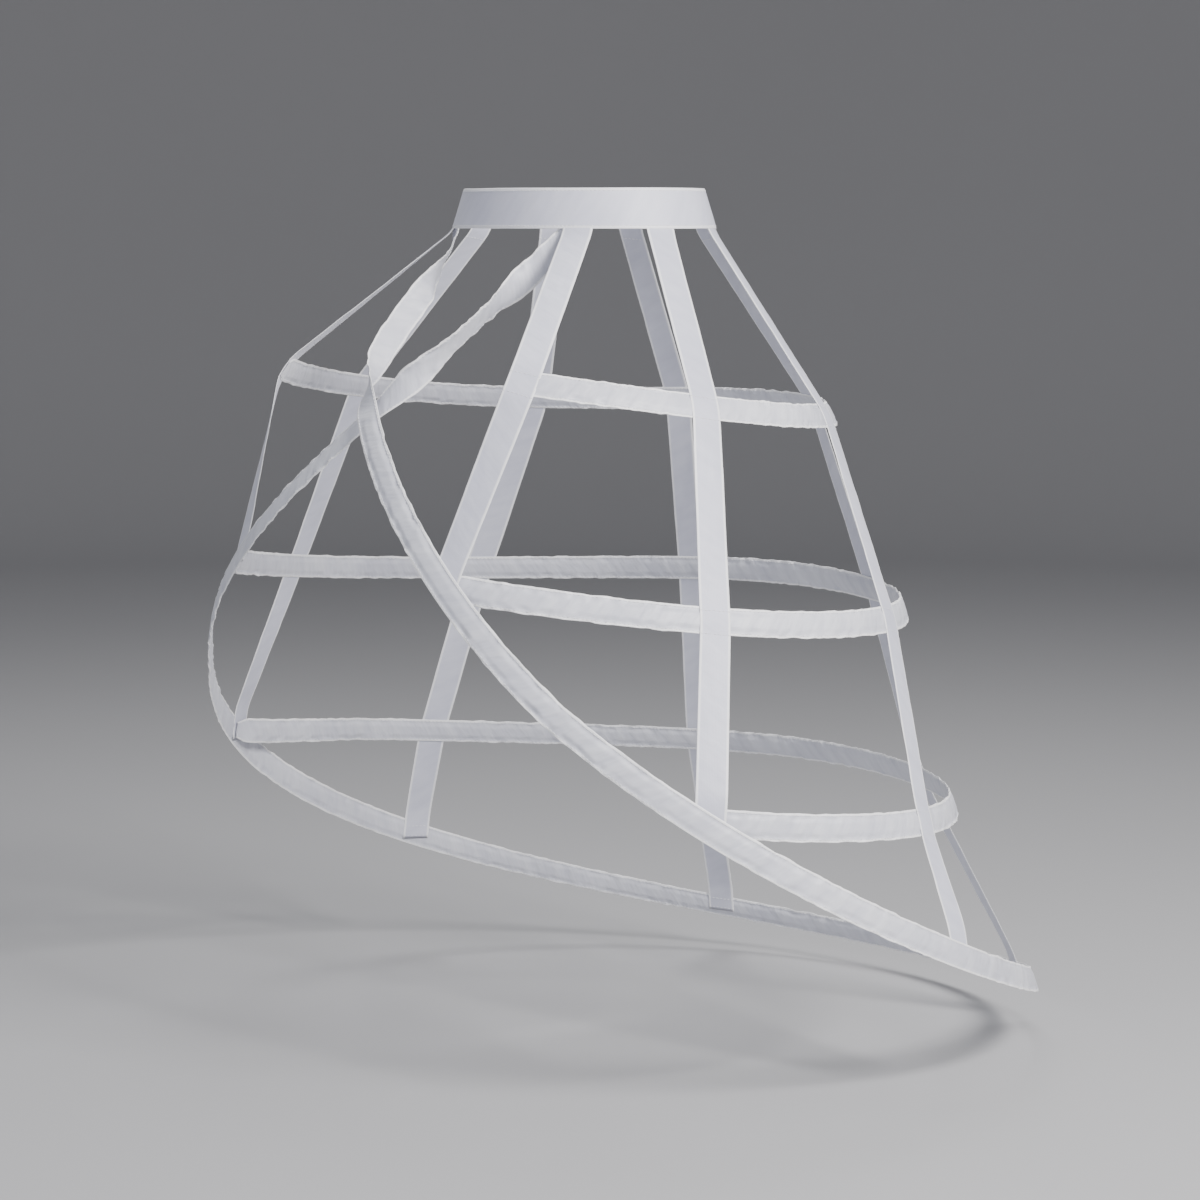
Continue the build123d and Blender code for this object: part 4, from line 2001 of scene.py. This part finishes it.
@dataclass
class Studio:
    """Camera, lights and a pale sweep.

    Attributes:
        azimuth: Viewing direction in degrees.
        pitch: How far the camera looks down, in degrees.
        distance: Metres from the waist axis.
        height: Metres above the frame's origin.
        lens: Focal length in millimetres.
        sensor: Width of the sensor in millimetres.
        shift: Sideways shift of the frame.
        far: Metres that the camera sees.
    """

    azimuth: float = 51.86
    pitch: float = 5.9
    distance: float = 3.089
    height: float = -0.0095
    lens: float = 110.33
    sensor: float = 36.0
    shift: float = 0.014
    far: float = 100.0
    floor_gap: float = 0.02
    floor_colour: Colour = (0.4, 0.4, 0.41)
    sweep_reach: float = 4.4
    sweep_radius: float = 1.8
    sweep_height: float = 6.0
    sweep_steps: int = 16
    sweep_sides: int = 72
    sky_colour: Colour = (0.9, 0.92, 1.0)
    sky_strength: float = 0.3
    lamps: tuple[Lamp, ...] = (
        Lamp("key", towards=1.8, right=1.5, up=1.3, size=0.9, power=150.0, colour=(1.0, 0.98, 0.97)),
        Lamp("fill", towards=1.7, right=-2.0, up=0.3, size=1.4, power=26.0, colour=(0.92, 0.94, 1.0)),
        Lamp("top", towards=-0.9, right=0.0, up=1.9, size=1.0, power=30.0, colour=(1.0, 1.0, 1.0)),
    )

    def heading(self) -> tuple[Vector, Vector]:
        """Level unit vectors from the axis to the camera and to the camera's right."""
        turn = math.radians(self.azimuth)
        return Vector((math.sin(turn), -math.cos(turn), 0.0)), Vector((math.cos(turn), math.sin(turn), 0.0))

    def camera(self) -> None:
        """Sets the camera at the photograph's angle."""
        data = bpy.data.cameras.new("camera")
        data.lens = self.lens
        data.sensor_width = self.sensor
        data.shift_x = self.shift
        data.clip_end = self.far
        eye = bpy.data.objects.new("camera", data)
        towards, _ = self.heading()
        eye.location = towards * self.distance + UP * self.height
        eye.rotation_euler = (math.radians(QUARTER_TURN - self.pitch), 0.0, math.radians(self.azimuth))
        bpy.context.scene.collection.objects.link(eye)
        bpy.context.scene.camera = eye

    def sweep(self) -> None:
        """Makes the round floor, which curves up into a plain wall on all sides."""
        low = CAD_BOX[0].z - self.floor_gap
        profile = []
        for step in range(self.sweep_steps + 1):
            turn = math.radians(QUARTER_TURN * step / self.sweep_steps)
            reach = self.sweep_reach + self.sweep_radius * math.sin(turn)
            profile.append((reach, low + self.sweep_radius * (1.0 - math.cos(turn))))
        profile.append((self.sweep_reach + self.sweep_radius, low + self.sweep_height))
        sides = self.sweep_sides
        points = [
            polar(FULL_TURN * side / sides, reach, rise) for reach, rise in profile for side in range(sides)
        ]
        faces: list[tuple[int, ...]] = [tuple(range(sides))]
        for ring in range(len(profile) - 1):
            first = ring * sides
            for side in range(sides):
                after = (side + 1) % sides
                faces.append((first + side, first + side + sides, first + after + sides, first + after))
        mesh = bpy.data.meshes.new("studio_floor")
        mesh.from_pydata([tuple(point) for point in points], [], faces)
        mesh.materials.append(FloorFinish("studio_floor", self.floor_colour).material())
        for polygon in mesh.polygons:
            polygon.use_smooth = True
        new_piece("studio_floor", mesh)

    def light(self, lamp: Lamp) -> None:
        """Adds a light that points at the middle of the cage.

        Args:
            lamp: Its place, size, power and colour.
        """
        towards, right = self.heading()
        middle = (CAD_BOX[0] + CAD_BOX[1]) / 2
        data = bpy.data.lights.new(lamp.name, "AREA")
        data.size = lamp.size
        data.energy = lamp.power
        data.color = lamp.colour
        place = towards * lamp.towards + right * lamp.right + UP * lamp.up
        made = bpy.data.objects.new(lamp.name, data)
        made.location = place
        made.rotation_euler = (middle - place).to_track_quat("-Z", "Y").to_euler()
        bpy.context.scene.collection.objects.link(made)

    def sky(self) -> None:
        """Sets a dim even surround."""
        world = bpy.data.worlds.new("studio")
        world.use_nodes = True
        surround = world.node_tree.nodes["Background"]
        surround.inputs["Color"].default_value = (*self.sky_colour, 1.0)
        surround.inputs["Strength"].default_value = self.sky_strength
        bpy.context.scene.world = world

    def build(self) -> None:
        """Sets up the whole studio."""
        self.camera()
        self.sweep()
        for lamp in self.lamps:
            self.light(lamp)
        self.sky()


def main() -> None:
    """Builds the pieces in order and sets up the studio."""
    logging.basicConfig(level=logging.INFO, format="%(name)s %(message)s")
    finishes = Finishes.made()
    sewing = Sewing(finishes)
    for assembly in (Waistband(sewing), Hoops(sewing), Straps(sewing)):
        assembly.build()
        assembly.dress()
    Closure(finishes).dress()
    Studio().build()


if __name__ == "__main__":
    main()
